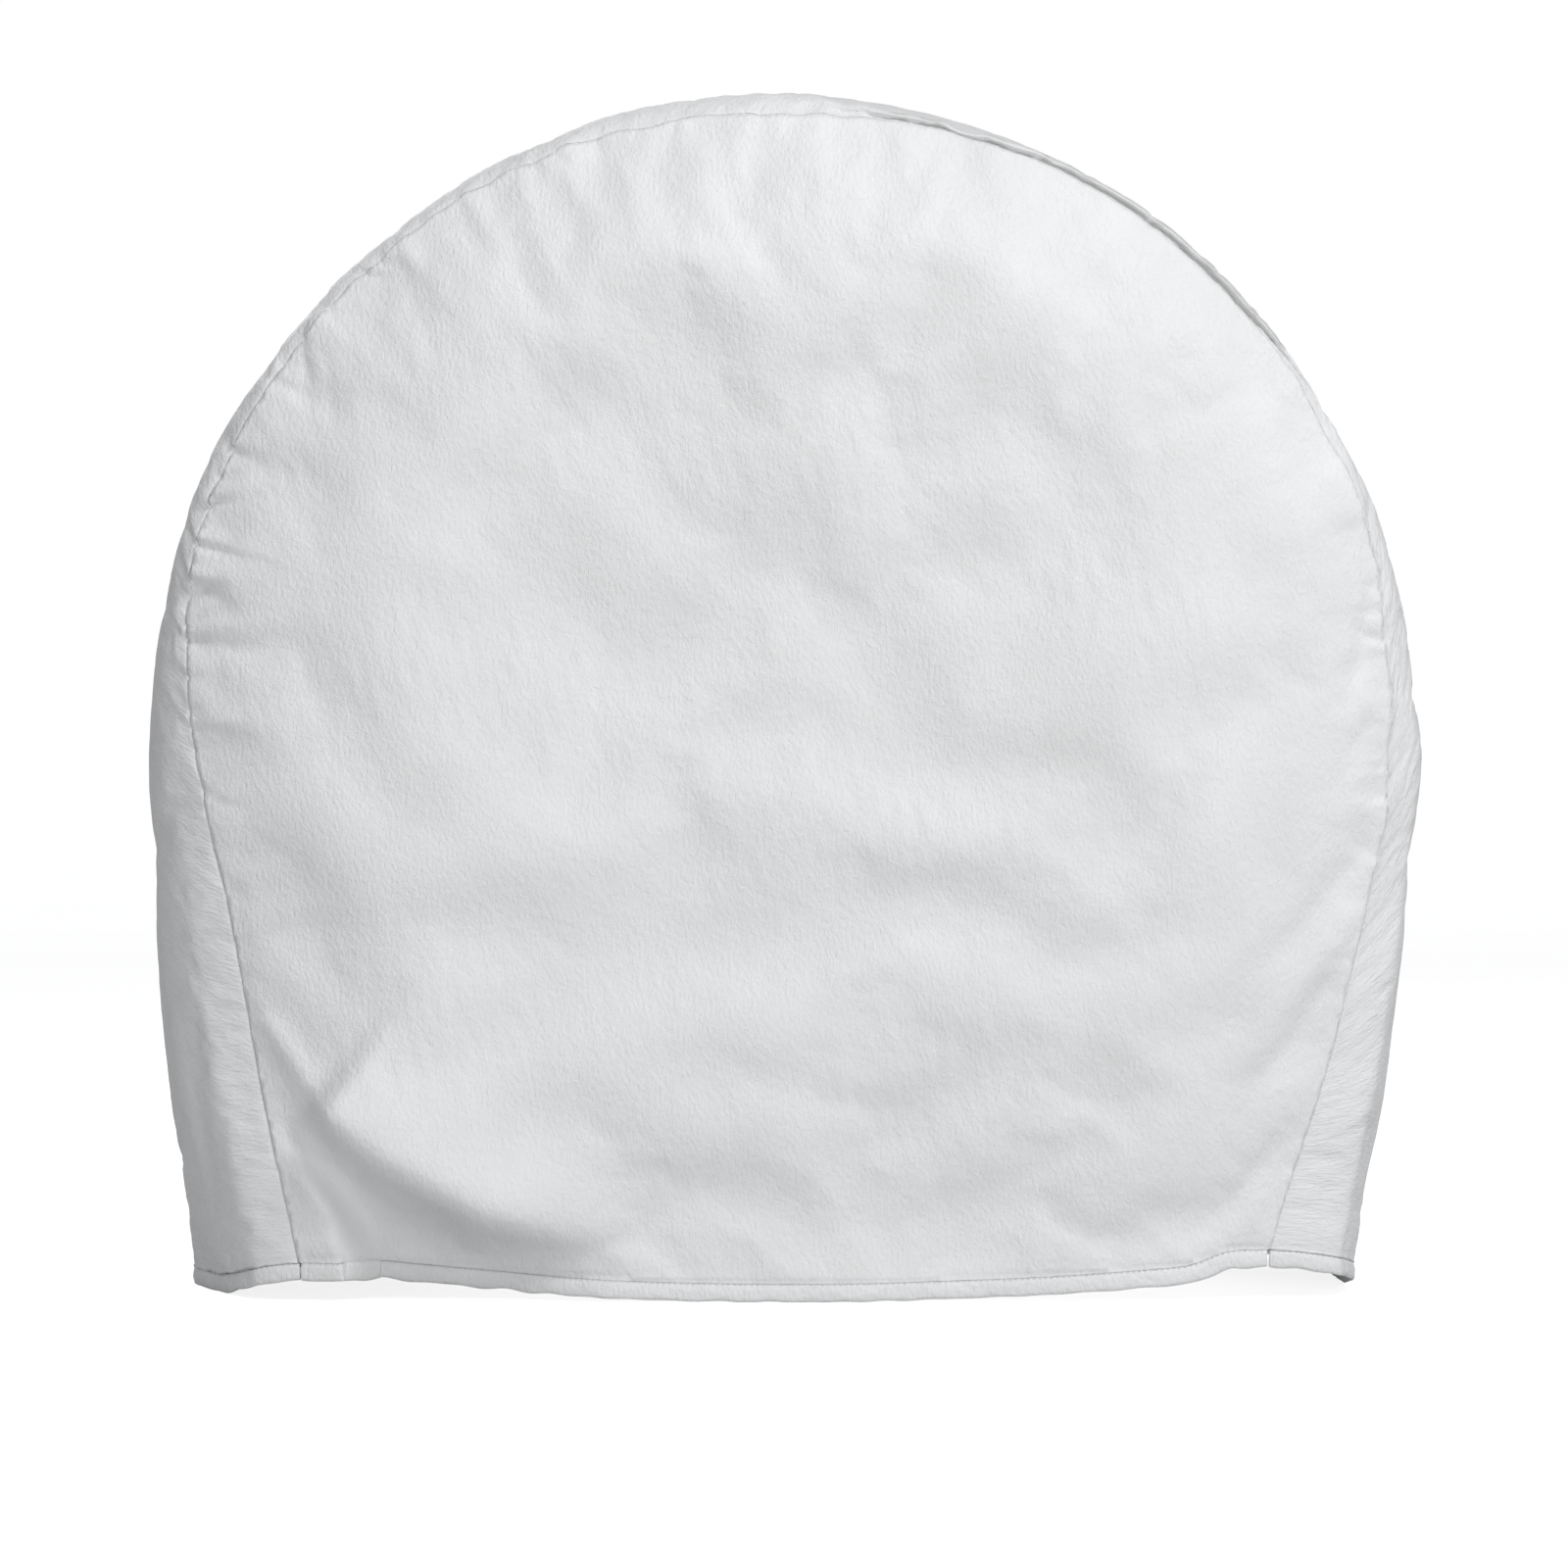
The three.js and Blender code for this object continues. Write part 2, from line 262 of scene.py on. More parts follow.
def lift(x, z):
    """How far the hem rises above its plane near the seam's feet, where the panel is pulled up."""
    left = 12 * MM * np.clip(-x / 0.24, 0, 1) ** 2
    right = 10 * MM * np.clip(x / 0.24, 0, 1) ** 2 + 9 * MM * smooth((x - 0.236) / 0.034)
    return np.where(x < 0, left, right) * (1 - smooth(z / LIFT_REACH))


def crowding(t):
    """How close and deep the puckers are: most on the left shoulder, least at the upper right."""
    crowded = 0.35
    for place, width, most in ((0.245, 0.07, 1.5), (0.79, 0.06, 0.75), (0.40, 0.07, 0.45)):
        crowded += most * math.exp(-(((t - place) / width) ** 2))
    return crowded * (0.35 if 0.49 < t < 0.7 else 1.0)


def pucker_list():
    """Puckers along the front seam: place along it, depth, half width, reach into the panel, and lean."""
    rng = np.random.default_rng(21)
    found = []
    s = 0.03
    while s < SEAM_LENGTH - 0.03:
        crowded = crowding(s / SEAM_LENGTH)
        depth = rng.uniform(0.9, 3.6) * MM * crowded
        reach = rng.uniform(0.014, 0.05) * (0.6 + 0.5 * crowded)
        found.append((s, depth, rng.uniform(1.4, 3.6) * MM, reach, rng.normal(0, 0.55)))
        s += rng.uniform(0.012, 0.04) / (0.6 + 0.6 * crowded)
    return found


PUCKERS = pucker_list()


def puckers(s, d, side):
    """How far the cloth dips s along the seam and d away from it, on the panel or the band side."""
    dip = np.zeros_like(s)
    for place, depth, width, reach, lean in PUCKERS:
        if side == "band":
            depth, reach = 0.6 * depth, 0.6 * reach
        near = (np.abs(s - place) < 0.06) & (d < reach)
        off = s[near] - place - lean * d[near] * (1 if side == "panel" else -1)
        wide = width + 0.16 * d[near]
        fade = (1 - d[near] / reach) ** 1.5
        valley = np.exp(-np.abs(off) / wide) - 0.45 * np.exp(-(((off - 1.9 * wide) / (1.5 * wide)) ** 2))
        dip[near] += depth * fade * valley
    return dip


# ---------------------------------------------------------------- the front panel
def panel_rise(x, z, d):
    """How far the panel stands forward of its seam: a pillow edge, and soft ridges across the middle."""
    pillow = 27 * MM * (1 - (1 - np.clip(d / 0.125, 0, 1)) ** 2)
    hub = -9 * MM * np.exp(-((np.hypot(x, z - AXLE_Z + 0.02) / 0.17) ** 2))
    foot = 1 - 0.45 * (1 - smooth(z / 0.2))
    ridge = 8.5 * MM * np.exp(-(((z - 0.618 + 0.25 * x * x) / 0.05) ** 2)) * np.exp(-((x / 0.26) ** 2))
    shelf = 5 * MM * np.exp(-(((z - 0.275 - 0.05 * x) / 0.05) ** 2)) * np.exp(-(((x + 0.05) / 0.26) ** 2))
    low = 2.5 * MM * np.exp(-(((z - 0.12 - 0.1 * x) / 0.05) ** 2)) * np.exp(-(((x - 0.1) / 0.2) ** 2))
    at = np.stack([x, 1.35 * z], 1)
    soft = 1.5 * MM * waves(at, 0.24, 31) + 0.75 * MM * waves(at, 0.11, 32)
    return (pillow + hub) * foot + (ridge + shelf + low + soft) * smooth(d / 0.09)


def along_line(x, z, points):
    """For each point, how far it is from a bent line (positive above it) and how far along, 0 to 1."""
    points = np.asarray(points, float)
    steps = np.diff(points, axis=0)
    lengths = np.linalg.norm(steps, axis=1)
    starts = np.concatenate([[0], np.cumsum(lengths)])
    best = np.full(x.shape, np.inf)
    off, along = np.zeros_like(x), np.zeros_like(x)
    for a, step, length, start in zip(points, steps, lengths, starts):
        px, pz = x - a[0], z - a[1]
        u = np.clip((px * step[0] + pz * step[1]) / length**2, 0, 1)
        gap = np.hypot(px - u * step[0], pz - u * step[1])
        closer = gap < best
        sign = np.where(step[0] * pz - step[1] * px >= 0, 1.0, -1.0) * np.sign(steps[0][0] + 1e-9)
        best = np.where(closer, gap, best)
        off = np.where(closer, gap * sign, off)
        along = np.where(closer, (start + u * length) / starts[-1], along)
    return off, along


def named_folds(x, z):
    """The folds that can be told apart on the front panel, as a height forward of the cloth round them."""
    height = np.zeros_like(x)
    # The cloth hangs over in a step above the lower left corner, and the hem tucks back under it.
    off, along = along_line(x, z, [(-0.292, 0.112), (-0.248, 0.076), (-0.185, 0.042), (-0.09, 0.018)])
    strength = smooth(along / 0.07) * (1 - smooth((along - 0.55) / 0.45))
    steep, far = np.where(off > 0, 0.011, 0.018), np.where(off > 0, 0.055, 0.09)
    clear_of_seam = smooth((x + 0.266 + 0.32 * (z - 0.018)) / 0.028)
    height += 30 * MM * strength * clear_of_seam * np.tanh(off / steep) * np.exp(-((off / far) ** 2))
    # Smaller ridges and creases: by that corner, down the right leg, across both sides, and under the crown.
    # Each is a line in X and Z in metres, a height in millimetres and a half width in metres.
    for line, tall, wide in (
        ([(-0.306, 0.165), (-0.268, 0.110), (-0.25, 0.07)], 4.5, 0.008),
        ([(-0.290, 0.075), (-0.268, 0.05), (-0.258, 0.02)], 4.2, 0.006),
        ([(-0.296, 0.098), (-0.275, 0.078), (-0.255, 0.05)], -3.6, 0.005),
        ([(-0.283, 0.030), (-0.268, 0.034), (-0.258, 0.016)], 2.6, 0.004),
        ([(0.353, 0.425), (0.344, 0.385), (0.33, 0.345)], -5.0, 0.005),
        ([(0.35, 0.345), (0.338, 0.33), (0.325, 0.322)], -2.4, 0.004),
        ([(0.352, 0.32), (0.34, 0.31), (0.328, 0.306)], 2.2, 0.004),
        ([(0.345, 0.268), (0.3, 0.215), (0.235, 0.165)], -2.6, 0.011),
        ([(0.338, 0.225), (0.29, 0.17), (0.235, 0.125)], 1.8, 0.011),
        ([(0.325, 0.19), (0.285, 0.13), (0.25, 0.095)], -1.8, 0.008),
        ([(0.29, 0.09), (0.262, 0.055), (0.235, 0.03)], -2.0, 0.007),
        ([(0.285, 0.06), (0.27, 0.04), (0.262, 0.018)], 1.8, 0.004),
        ([(-0.335, 0.5), (-0.29, 0.49), (-0.24, 0.492)], -1.6, 0.007),
        ([(-0.35, 0.385), (-0.3, 0.39), (-0.24, 0.385)], -2.2, 0.008),
        ([(-0.345, 0.35), (-0.31, 0.34), (-0.25, 0.345)], 1.4, 0.008),
        ([(-0.32, 0.215), (-0.27, 0.225), (-0.2, 0.22)], -1.8, 0.012),
        ([(-0.12, 0.682), (-0.06, 0.692), (0.0, 0.69)], -2.2, 0.006),
        ([(0.0, 0.68), (0.035, 0.665), (0.06, 0.64)], 1.5, 0.01),
        ([(-0.02, 0.69), (-0.018, 0.665), (-0.02, 0.64)], -0.5, 0.002),
        ([(0.28, 0.545), (0.22, 0.52), (0.14, 0.5)], -1.4, 0.012),
        ([(0.3, 0.5), (0.24, 0.475), (0.17, 0.46)], 1.2, 0.012),
        ([(0.02, 0.62), (0.1, 0.605), (0.17, 0.58)], -1.6, 0.014),
        ([(-0.2, 0.645), (-0.15, 0.6), (-0.13, 0.55)], -1.4, 0.012),
    ):
        off, along = along_line(x, z, line)
        ends = smooth(along / 0.15) if abs(line[0][0]) < 0.27 else np.ones_like(along)
        ends = ends * (1 - smooth((along - 0.35) / 0.65))
        height += tall * MM * ends * np.exp(-np.abs(off / (wide * (0.7 + along))) ** 1.4)
    return height


def front_outline(step):
    """The panel's edge: the seam from foot to foot over the crown, and the stitch line back along the hem."""
    t = np.linspace(0, 1, round(SEAM_LENGTH / step) + 1)
    seam = seam_curve(t)
    across = np.linspace(seam[-1, 0], seam[0, 0], round(2 * SEAM_FOOT / step) + 1)[1:-1]
    z = STITCH_LINE + lift(across, np.full_like(across, STITCH_LINE))
    return seam, np.stack([across, z], 1)


def tree_of(points):
    """A tree that finds the nearest of some points."""
    tree = KDTree(len(points))
    for i, point in enumerate(points):
        tree.insert(point, i)
    tree.balance()
    return tree


class SeamFinder:
    """Tells how far points of the panel are from the seam, and where along it."""

    def __init__(self):
        self.t = np.linspace(0, 1, 3001)
        self.seam = seam_curve(self.t)
        self.tree = tree_of([(x, 0, z) for x, _, z in self.seam])

    def __call__(self, x, z):
        hits = [self.tree.find((a, 0, b)) for a, b in zip(x, z)]
        index = np.array([hit[1] for hit in hits])
        return self.t[index] * SEAM_LENGTH, np.array([hit[2] for hit in hits]), self.seam[index, 1]


def panel_y(x, z, finder):
    """Where the panel's cloth lies from front to back, before it settles."""
    _, d, seam_y = finder(x, z)
    edge = (seam_y - FRONT_Y) * (1 - smooth(d / 0.04))
    return FRONT_Y + edge - panel_rise(x, z, d) - named_folds(x, z) * smooth(d / 0.012)


def panel_mesh(step, finder):
    """The panel's cloth as points and faces: even squares inside, fitted to the edge by triangles."""
    seam, hem = front_outline(step)
    edge = np.vstack([seam[:, [0, 2]], hem])
    xs = np.arange(-SEAM_RADIUS, SEAM_RADIUS, step)
    zs = np.arange(STITCH_LINE, AXLE_Z + SEAM_RADIUS, step)
    inner = np.array([(x, z) for z in zs for x in xs])
    tree = tree_of([(x, z, 0) for x, z in edge])
    kept = []
    for x, z in inner:
        near, i, distance = tree.find((x, z, 0))
        before, after = edge[i - 1], edge[(i + 1) % len(edge)]
        turn = (after[0] - before[0]) * (z - near[1]) - (after[1] - before[1]) * (x - near[0])
        if turn < 0 and distance > 0.75 * step:
            kept.append((x, z))
    flat = [Vector(p) for p in edge] + [Vector(p) for p in kept]
    loop = [(i, (i + 1) % len(edge)) for i in range(len(edge))]
    flat, _, faces, *_ = delaunay_2d_cdt(flat, loop, [], 1, 1e-7)
    flat = np.array([(p.x, p.y) for p in flat])
    y = panel_y(flat[:, 0], flat[:, 1], finder)
    return np.stack([flat[:, 0], y, flat[:, 1]], 1), faces


def joined_quads(points, faces):
    """The same cloth with its pairs of triangles made into squares where they fit."""
    mesh = bpy.data.meshes.new("quads")
    mesh.from_pydata(points.tolist(), [], [list(f) for f in faces])
    work = bmesh.new()
    work.from_mesh(mesh)
    bmesh.ops.join_triangles(work, faces=work.faces[:], angle_face_threshold=0.7, angle_shape_threshold=0.9)
    work.to_mesh(mesh)
    work.free()
    quads = [tuple(face.vertices) for face in mesh.polygons]
    bpy.data.meshes.remove(mesh)
    return quads


def working_piece(name, points, faces):
    """A mesh object for a modifier to work on, removed again by modified()."""
    mesh = bpy.data.meshes.new(name)
    mesh.from_pydata(points.tolist(), [], [list(map(int, f)) for f in faces])
    piece = bpy.data.objects.new(name, mesh)
    bpy.context.scene.collection.objects.link(piece)
    return piece


def modified(piece):
    """A working piece's points and faces after its modifiers. The piece is removed."""
    evaluated = piece.evaluated_get(bpy.context.evaluated_depsgraph_get())
    result = evaluated.to_mesh()
    found = np.zeros(len(result.vertices) * 3)
    result.vertices.foreach_get("co", found)
    faces = [tuple(face.vertices) for face in result.polygons]
    evaluated.to_mesh_clear()
    mesh = piece.data
    bpy.data.objects.remove(piece)
    bpy.data.meshes.remove(mesh)
    return found.reshape(-1, 3), faces


def subdivided(points, faces):
    """The same cloth, twice as fine and smooth."""
    piece = working_piece("finer", points, faces)
    piece.modifiers.new("Finer", "SUBSURF").levels = 1
    return modified(piece)


def rim_loop(faces):
    """The points round the open edge of a sheet, in order."""
    after = dict(open_edges(faces))
    start = next(iter(after))
    loop = [start]
    while after[loop[-1]] != start:
        loop.append(after[loop[-1]])
    return np.array(loop)


def settle(points, faces, held, excess, cap, seed, frames=24):
    """Where cloth with a little too much in it comes to rest, buckled, while its sewn edges are held."""
    points = np.asarray(points, float)
    nudge = np.random.default_rng(seed).normal(0, 0.15 * MM, points.shape)
    nudge[held] = 0
    piece = working_piece("settling", points + nudge, faces)
    piece.vertex_groups.new(name="sewn").add([int(i) for i in held], 1.0, "REPLACE")
    cloth = piece.modifiers.new("Cloth", "CLOTH")
    cloth.collision_settings.use_collision = False
    cloth.point_cache.frame_start = 1
    cloth.point_cache.frame_end = frames
    fabric = cloth.settings
    fabric.quality = 4
    fabric.mass = 0.02
    fabric.tension_stiffness = fabric.compression_stiffness = 15
    fabric.shear_stiffness = 5
    fabric.bending_stiffness = 0.5
    fabric.tension_damping = fabric.compression_damping = fabric.shear_damping = 5
    fabric.bending_damping = 0.5
    fabric.air_damping = 2
    fabric.shrink_min = -excess
    fabric.vertex_group_mass = "sewn"
    fabric.effector_weights.gravity = 0.02
    for number in range(1, frames + 1):
        bpy.context.scene.frame_set(number)
    moved = modified(piece)[0] - points
    bpy.context.scene.frame_set(1)
    moved[held] = 0
    far = np.linalg.norm(moved, axis=1, keepdims=True)
    return points + moved * np.where(far > 0, cap * np.tanh(far / cap) / np.maximum(far, 1e-9), 0)


def outward(points):
    """The way out from the axle across the face of the cover, level below the axle."""
    return unit(np.stack([points[:, 0], np.zeros(len(points)), np.maximum(points[:, 2] - AXLE_Z, 0)], 1))


def seam_sides(points, back=1.0):
    """At points on a seam: the way out of it, between outwards and forwards to the band, and the way in."""
    out = outward(points)
    depth = np.array([0, back, 0])
    return (out + depth) / math.sqrt(2), (depth - out) / math.sqrt(2)


def turned_in(edge, into, reach=5.0 * MM):
    """Rows that turn a sewn edge in and down between the two cloths, from its outer row."""
    return edge + into * 0.35 * MM, edge + into * 0.9 * MM, edge + into * reach


SEAM_GAP = 0.18 * MM
LINING_GAP = 2.6 * MM
FELT_THICKNESS = 1.2 * MM


def build_front_panel(vinyl, felt):
    """The front panel and its felt lining."""
    finder = SeamFinder()
    points, faces = panel_mesh(5 * MM, finder)
    faces = joined_quads(points, faces)
    rim = rim_loop(faces)
    settled = settle(points, faces, rim, excess=0.009, cap=3.6 * MM, seed=41)
    fine, fine_faces = subdivided(settled, faces)
    loop = rim_loop(fine_faces)
    s, d, _ = finder(fine[:, 0], fine[:, 2])
    on_seam = (d[loop] < 2.5 * MM) & (fine[loop, 2] > STITCH_LINE + 2 * MM)
    fine[loop[on_seam]] = seam_curve(s[loop[on_seam]] / SEAM_LENGTH)
    fine[:, 1] += puckers(s, d, "panel")
    fine[:, 1] -= fine_wrinkles(fine[:, 0], fine[:, 2]) * smooth(d / 0.02)
    out, into = seam_sides(fine[loop])
    # Along the hem the cloth's edge is sunk behind the stitch line instead.
    at_hem = ~on_seam
    out[at_hem] = (0, -3.4, 0)
    into[at_hem] = (0, 0.35, -0.94)
    edge = fine[loop] - out * SEAM_GAP
    fine[loop] = edge - out * 0.25 * MM
    rows = [loop]
    for ring in turned_in(edge, into):
        rows.append(np.arange(len(fine), len(fine) + len(loop)))
        fine = np.vstack([fine, ring])
    for above, below in zip(rows, rows[1:]):
        for k in range(len(loop)):
            n = (k + 1) % len(loop)
            fine_faces.append((int(above[n]), int(above[k]), int(below[k]), int(below[n])))
    uv = fine[:, [0, 2]]
    panel = make("front_panel_vinyl", fine, fine_faces, uv, vinyl, stands_for=("front_panel",))
    lining = panel_lining(settled, faces, finder, felt)
    return panel, lining, finder


def fine_wrinkles(x, z):
    """Short steep wrinkles that the vinyl keeps from being folded, leaning to the left at the top."""
    lean = math.radians(14)
    across = x * math.cos(lean) + z * math.sin(lean)
    along = z * math.cos(lean) - x * math.sin(lean)
    patches = 0.5 + 0.5 * waves(np.stack([x, z], 1), 0.16, 51)
    small = waves(np.stack([across, along / 4.2], 1), 0.011, 52, count=40)
    return 0.10 * MM * small * np.clip(patches, 0.15, 1.4)


def panel_lining(points, faces, finder, felt):
    """The felt behind the front panel: the same cloth, set back and short of the seams."""
    normal = np.zeros_like(points)
    for face in faces:
        corners = points[list(face)]
        normal[list(face)] += np.cross(corners[1] - corners[0], corners[2] - corners[0])
    normal = unit(normal) * np.where(normal[:, 1:2] > 0, -1, 1)
    rim = rim_loop(faces)
    s, d, _ = finder(points[:, 0], points[:, 2])
    inset = points - normal * LINING_GAP
    inset[:, 1] += puckers(s, d, "panel")
    at_hem = points[rim, 2] < STITCH_LINE + lift(points[rim, 0], np.zeros(len(rim))) + 1 * MM
    inset[rim] -= np.where(at_hem[:, None], (0, 0, -3 * MM), outward(points[rim]) * 3 * MM)
    solid, solid_faces = thicken(inset, faces, normal, FELT_THICKNESS)
    uv = solid[:, [0, 2]]
    return make("front_lining_felt", solid, solid_faces, uv, felt, stands_for=("front_lining",))


# ---------------------------------------------------------------- the tread band
# Sections across the band from front to back, at the crown and at the two feet, as millimetres out from the
# middle and back from the front seam.
BACK_SECTION = ((352.5, 150), (352, 192), (352, 215), (352, 230))
CROWN_SECTION = (
    (360, 0), (367, 5), (374, 13), (381, 45), (381, 85), (380, 150), (377, 192), (368, 215), (352, 230),
)
LEFT_SECTION = ((288, 0), (299, 2), (310, 7), (329, 45), (352, 100), *BACK_SECTION)
RIGHT_SECTION = ((288, 0), (311, 1), (333, 6), (350, 45), (353, 100), *BACK_SECTION)

# The lip beyond the sunken seam at the upper right, as millimetres out and back from the seam.
ROLLED_EDGE = ((0.8, 3.2), (3.0, -0.8))


def band_grid(rows, columns):
    """The band's cloth: rows from the left foot over the crown to the right foot, columns front to back."""
    t = np.linspace(0, 1, rows)
    climbed = np.minimum(t, 1 - t)
    up = smooth(climbed / 0.30)
    c = channel(t)
    controls = []
    for k, crown in enumerate(CROWN_SECTION):
        radius, depth = crown
        lines = []
        for section in (LEFT_SECTION, RIGHT_SECTION):
            half, foot_depth = section[k]
            x, z = arch(radius * MM, half * MM, t, foot=STITCH_LINE, bow=min(k, 8 - k, 3) * 2 * MM)
            lines.append(np.stack([x, FRONT_Y + lerp(foot_depth, depth, up) * MM, z], 1))
        line = np.where((t < 0.5)[:, None], lines[0], lines[1])
        if k in (1, 2):
            line += (seam_spread(t) * (0.9, 0.7)[k - 1])[:, None] * outward(line)
        if 0 < k < 8:
            line += (eased(t, TREAD_EASE) * min(k - 0.5, 8 - k, 2.5) / 2.5)[:, None] * outward(line)
        controls.append(line)
    seam = seam_curve(t)
    for k, (out_by, back_by) in enumerate(ROLLED_EDGE, 1):
        rolled = seam + outward(seam) * out_by * MM + np.array([0, back_by * MM, 0])
        controls[k] = lerp(controls[k], rolled, c[:, None])
    controls[0] = seam - np.stack([0 * t, 0 * t, lift_of(seam)], 1)
    controls = np.array(controls)
    knots = reach_along(np.array(CROWN_SECTION, float))
    knots /= knots[-1]
    tangents = np.gradient(controls, knots, axis=0)
    u = np.linspace(0, 1, columns)
    k = np.clip(np.searchsorted(knots, u, side="right") - 1, 0, len(knots) - 2)
    width = (knots[k + 1] - knots[k])[:, None, None]
    w = ((u - knots[k])[:, None, None]) / width
    grid = (2 * w**3 - 3 * w**2 + 1) * controls[k] + (w**3 - 2 * w**2 + w) * tangents[k] * width
    grid += (3 * w**2 - 2 * w**3) * controls[k + 1] + (w**3 - w**2) * tangents[k + 1] * width
    straight = (1 - w) * controls[k] + w * controls[k + 1]
    crisp = (0.85 * (1 - smooth((climbed - 0.04) / 0.16)))[None, :, None] * (u < knots[4])[:, None, None]
    grid = np.moveaxis(lerp(grid, straight, crisp), 0, 1)
    grid[..., 2] += band_lift(grid[..., 0], grid[..., 1]) * (1 - smooth(grid[..., 2] / LIFT_REACH))
    grid[:, 0] = seam
    return grid


def lift_of(lifted):
    """The part of the seam's height that its lift gave it."""
    z = lifted[:, 2].copy()
    for _ in range(6):
        z = lifted[:, 2] - lift(lifted[:, 0], z)
    return lifted[:, 2] - z


def band_lift(x, y):
    """How far the band's hem rises towards the front corners."""
    d = np.hypot(np.abs(x) - SEAM_FOOT, y - FRONT_Y)
    at_seam = lift(np.sign(x) * SEAM_FOOT, np.zeros_like(x))
    return at_seam * (1 - smooth(d / np.where(x < 0, 0.08, 0.13)))


def build_band(vinyl, felt):
    """The band over the tread and its felt lining."""
    rows, columns = 371, 47
    grid = band_grid(rows, columns)
    faces = grid_faces(rows, columns)[:, ::-1]
    held = grid_rim(rows, columns)
    settled = settle(grid.reshape(-1, 3), faces, held, excess=0.008, cap=1.5 * MM, seed=43)
    settled = settled.reshape(grid.shape)
    fine = double(double(settled, 0), 1)
    t = np.linspace(0, 1, len(fine))
    fine[:, 0] = seam_curve(t)
    normal = -grid_normals(fine)
    along = np.broadcast_to(t[:, None] * SEAM_LENGTH, fine.shape[:2])
    steps = np.linalg.norm(np.diff(fine, axis=1), axis=2)
    away = np.concatenate([np.zeros((len(fine), 1)), np.cumsum(steps, 1)], 1)
    dip = puckers(along.ravel(), away.ravel(), "band").reshape(along.shape)
    place = np.stack([along.ravel(), away.ravel()], 1)
    ripple = 0.10 * MM * waves(place / (2.5, 1), 0.011, 61).reshape(along.shape)
    soft = 0.35 * MM * waves(place, 0.09, 62).reshape(along.shape) + corner_folds(fine)
    inner = (smooth(away / 0.02) * smooth((away[:, -1:] - away) / 0.02))[..., None]
    fine += normal * ((ripple + soft)[..., None] * inner - dip[..., None])
    count, wide = fine.shape[:2]
    front_out, front_in = seam_sides(fine[:, 0])
    back_out, back_in = seam_sides(fine[:, -1], back=-1.0)
    front, back = fine[:, 0] + front_out * SEAM_GAP, fine[:, -1] + back_out * SEAM_GAP
    fine[:, 0], fine[:, -1] = front + front_out * 0.25 * MM, back + back_out * 0.25 * MM
    feet = {"left": fine[0].copy(), "right": fine[-1].copy()}
    before = [r[:, None] for r in turned_in(front, front_in)][::-1]
    after = [r[:, None] for r in turned_in(back, back_in)]
    sheet = np.concatenate(before + [fine] + after, 1)
    uv_across = np.concatenate([[-3, -2, -1], np.arange(wide), wide + np.arange(3)]) * 2.5 * MM
    uv = crossed(t * SEAM_LENGTH, uv_across)
    faces = grid_faces(count, sheet.shape[1])[:, ::-1]
    faces, sheet, uv = with_foot_rows(sheet, uv, faces)
    band = make("tread_band_vinyl", sheet, faces, uv, vinyl, stands_for=("tread_band",))
    coarse_normal = -grid_normals(settled)
    inset = settled - coarse_normal * (LINING_GAP + dip[::2, ::2, None])
    inner_grid = inset[1:-1, 1:-1]
    faces = grid_faces(*inner_grid.shape[:2])[:, ::-1]
    facing = coarse_normal[1:-1, 1:-1].reshape(-1, 3)
    solid, faces = thicken(inner_grid.reshape(-1, 3), faces, facing, FELT_THICKNESS)
    flat_uv = crossed(np.arange(rows - 2), np.arange(columns - 2)).reshape(-1, 2) * 5 * MM
    uv = np.vstack([flat_uv, flat_uv])
    lining = make("band_lining_felt", solid, faces, uv, felt, stands_for=("band_lining",))
    return band, lining, feet


def corner_folds(grid):
    """Folds at the foot of the band: short ones that run back from the seam."""
    x, y, z = grid[..., 0], grid[..., 1] - FRONT_Y, grid[..., 2]
    height = np.zeros_like(x)
    for side, line, tall, wide in (
        (-1, ((0.0, 0.30), (0.05, 0.27), (0.12, 0.255)), -1.6, 0.008),
        (-1, ((0.02, 0.16), (0.035, 0.09), (0.05, 0.02)), -1.8, 0.010),
        (-1, ((0.06, 0.12), (0.08, 0.06), (0.09, 0.02)), 1.5, 0.012),
        (-1, ((0.01, 0.42), (0.06, 0.41), (0.10, 0.42)), -1.4, 0.008),
        (1, ((0.0, 0.37), (0.05, 0.35), (0.1, 0.345)), -1.5, 0.008),
        (1, ((0.03, 0.10), (0.05, 0.06), (0.07, 0.02)), -1.2, 0.010),
    ):
        off, along = along_line(y, z, line)
        own = np.where(x * side > 0, 1.0, 0.0)
        height += own * tall * MM * (1 - smooth((along - 0.4) / 0.6)) * np.exp(-np.abs(off / wide) ** 1.5)
    return height


def with_foot_rows(sheet, uv, faces):
    """Adds the rows that tuck the band's bottom edges into its hems, and flattens the grids."""
    rows, columns = sheet.shape[:2]
    points, coords = [sheet.reshape(-1, 3)], [uv.reshape(-1, 2)]
    faces = faces.tolist()
    count = rows * columns
    for row, flip in ((0, False), (rows - 1, True)):
        tangent = np.gradient(sheet[row], axis=0)
        facing = unit(np.stack([tangent[:, 1], -tangent[:, 0], np.zeros(columns)], 1))
        facing *= np.sign(sheet[row][:, :1])
        tuck = sheet[row] - facing * 1.3 * MM + np.array([0, 0, -3.0 * MM])
        points.append(tuck)
        coords.append(uv[row] + [(-3 * MM if row == 0 else 3 * MM), 0])
        base = row * columns
        for k in range(columns - 1):
            quad = (base + k, base + k + 1, count + k + 1, count + k)
            faces.append(quad if flip else quad[::-1])
        count += columns
    return faces, np.vstack(points), np.vstack(coords)


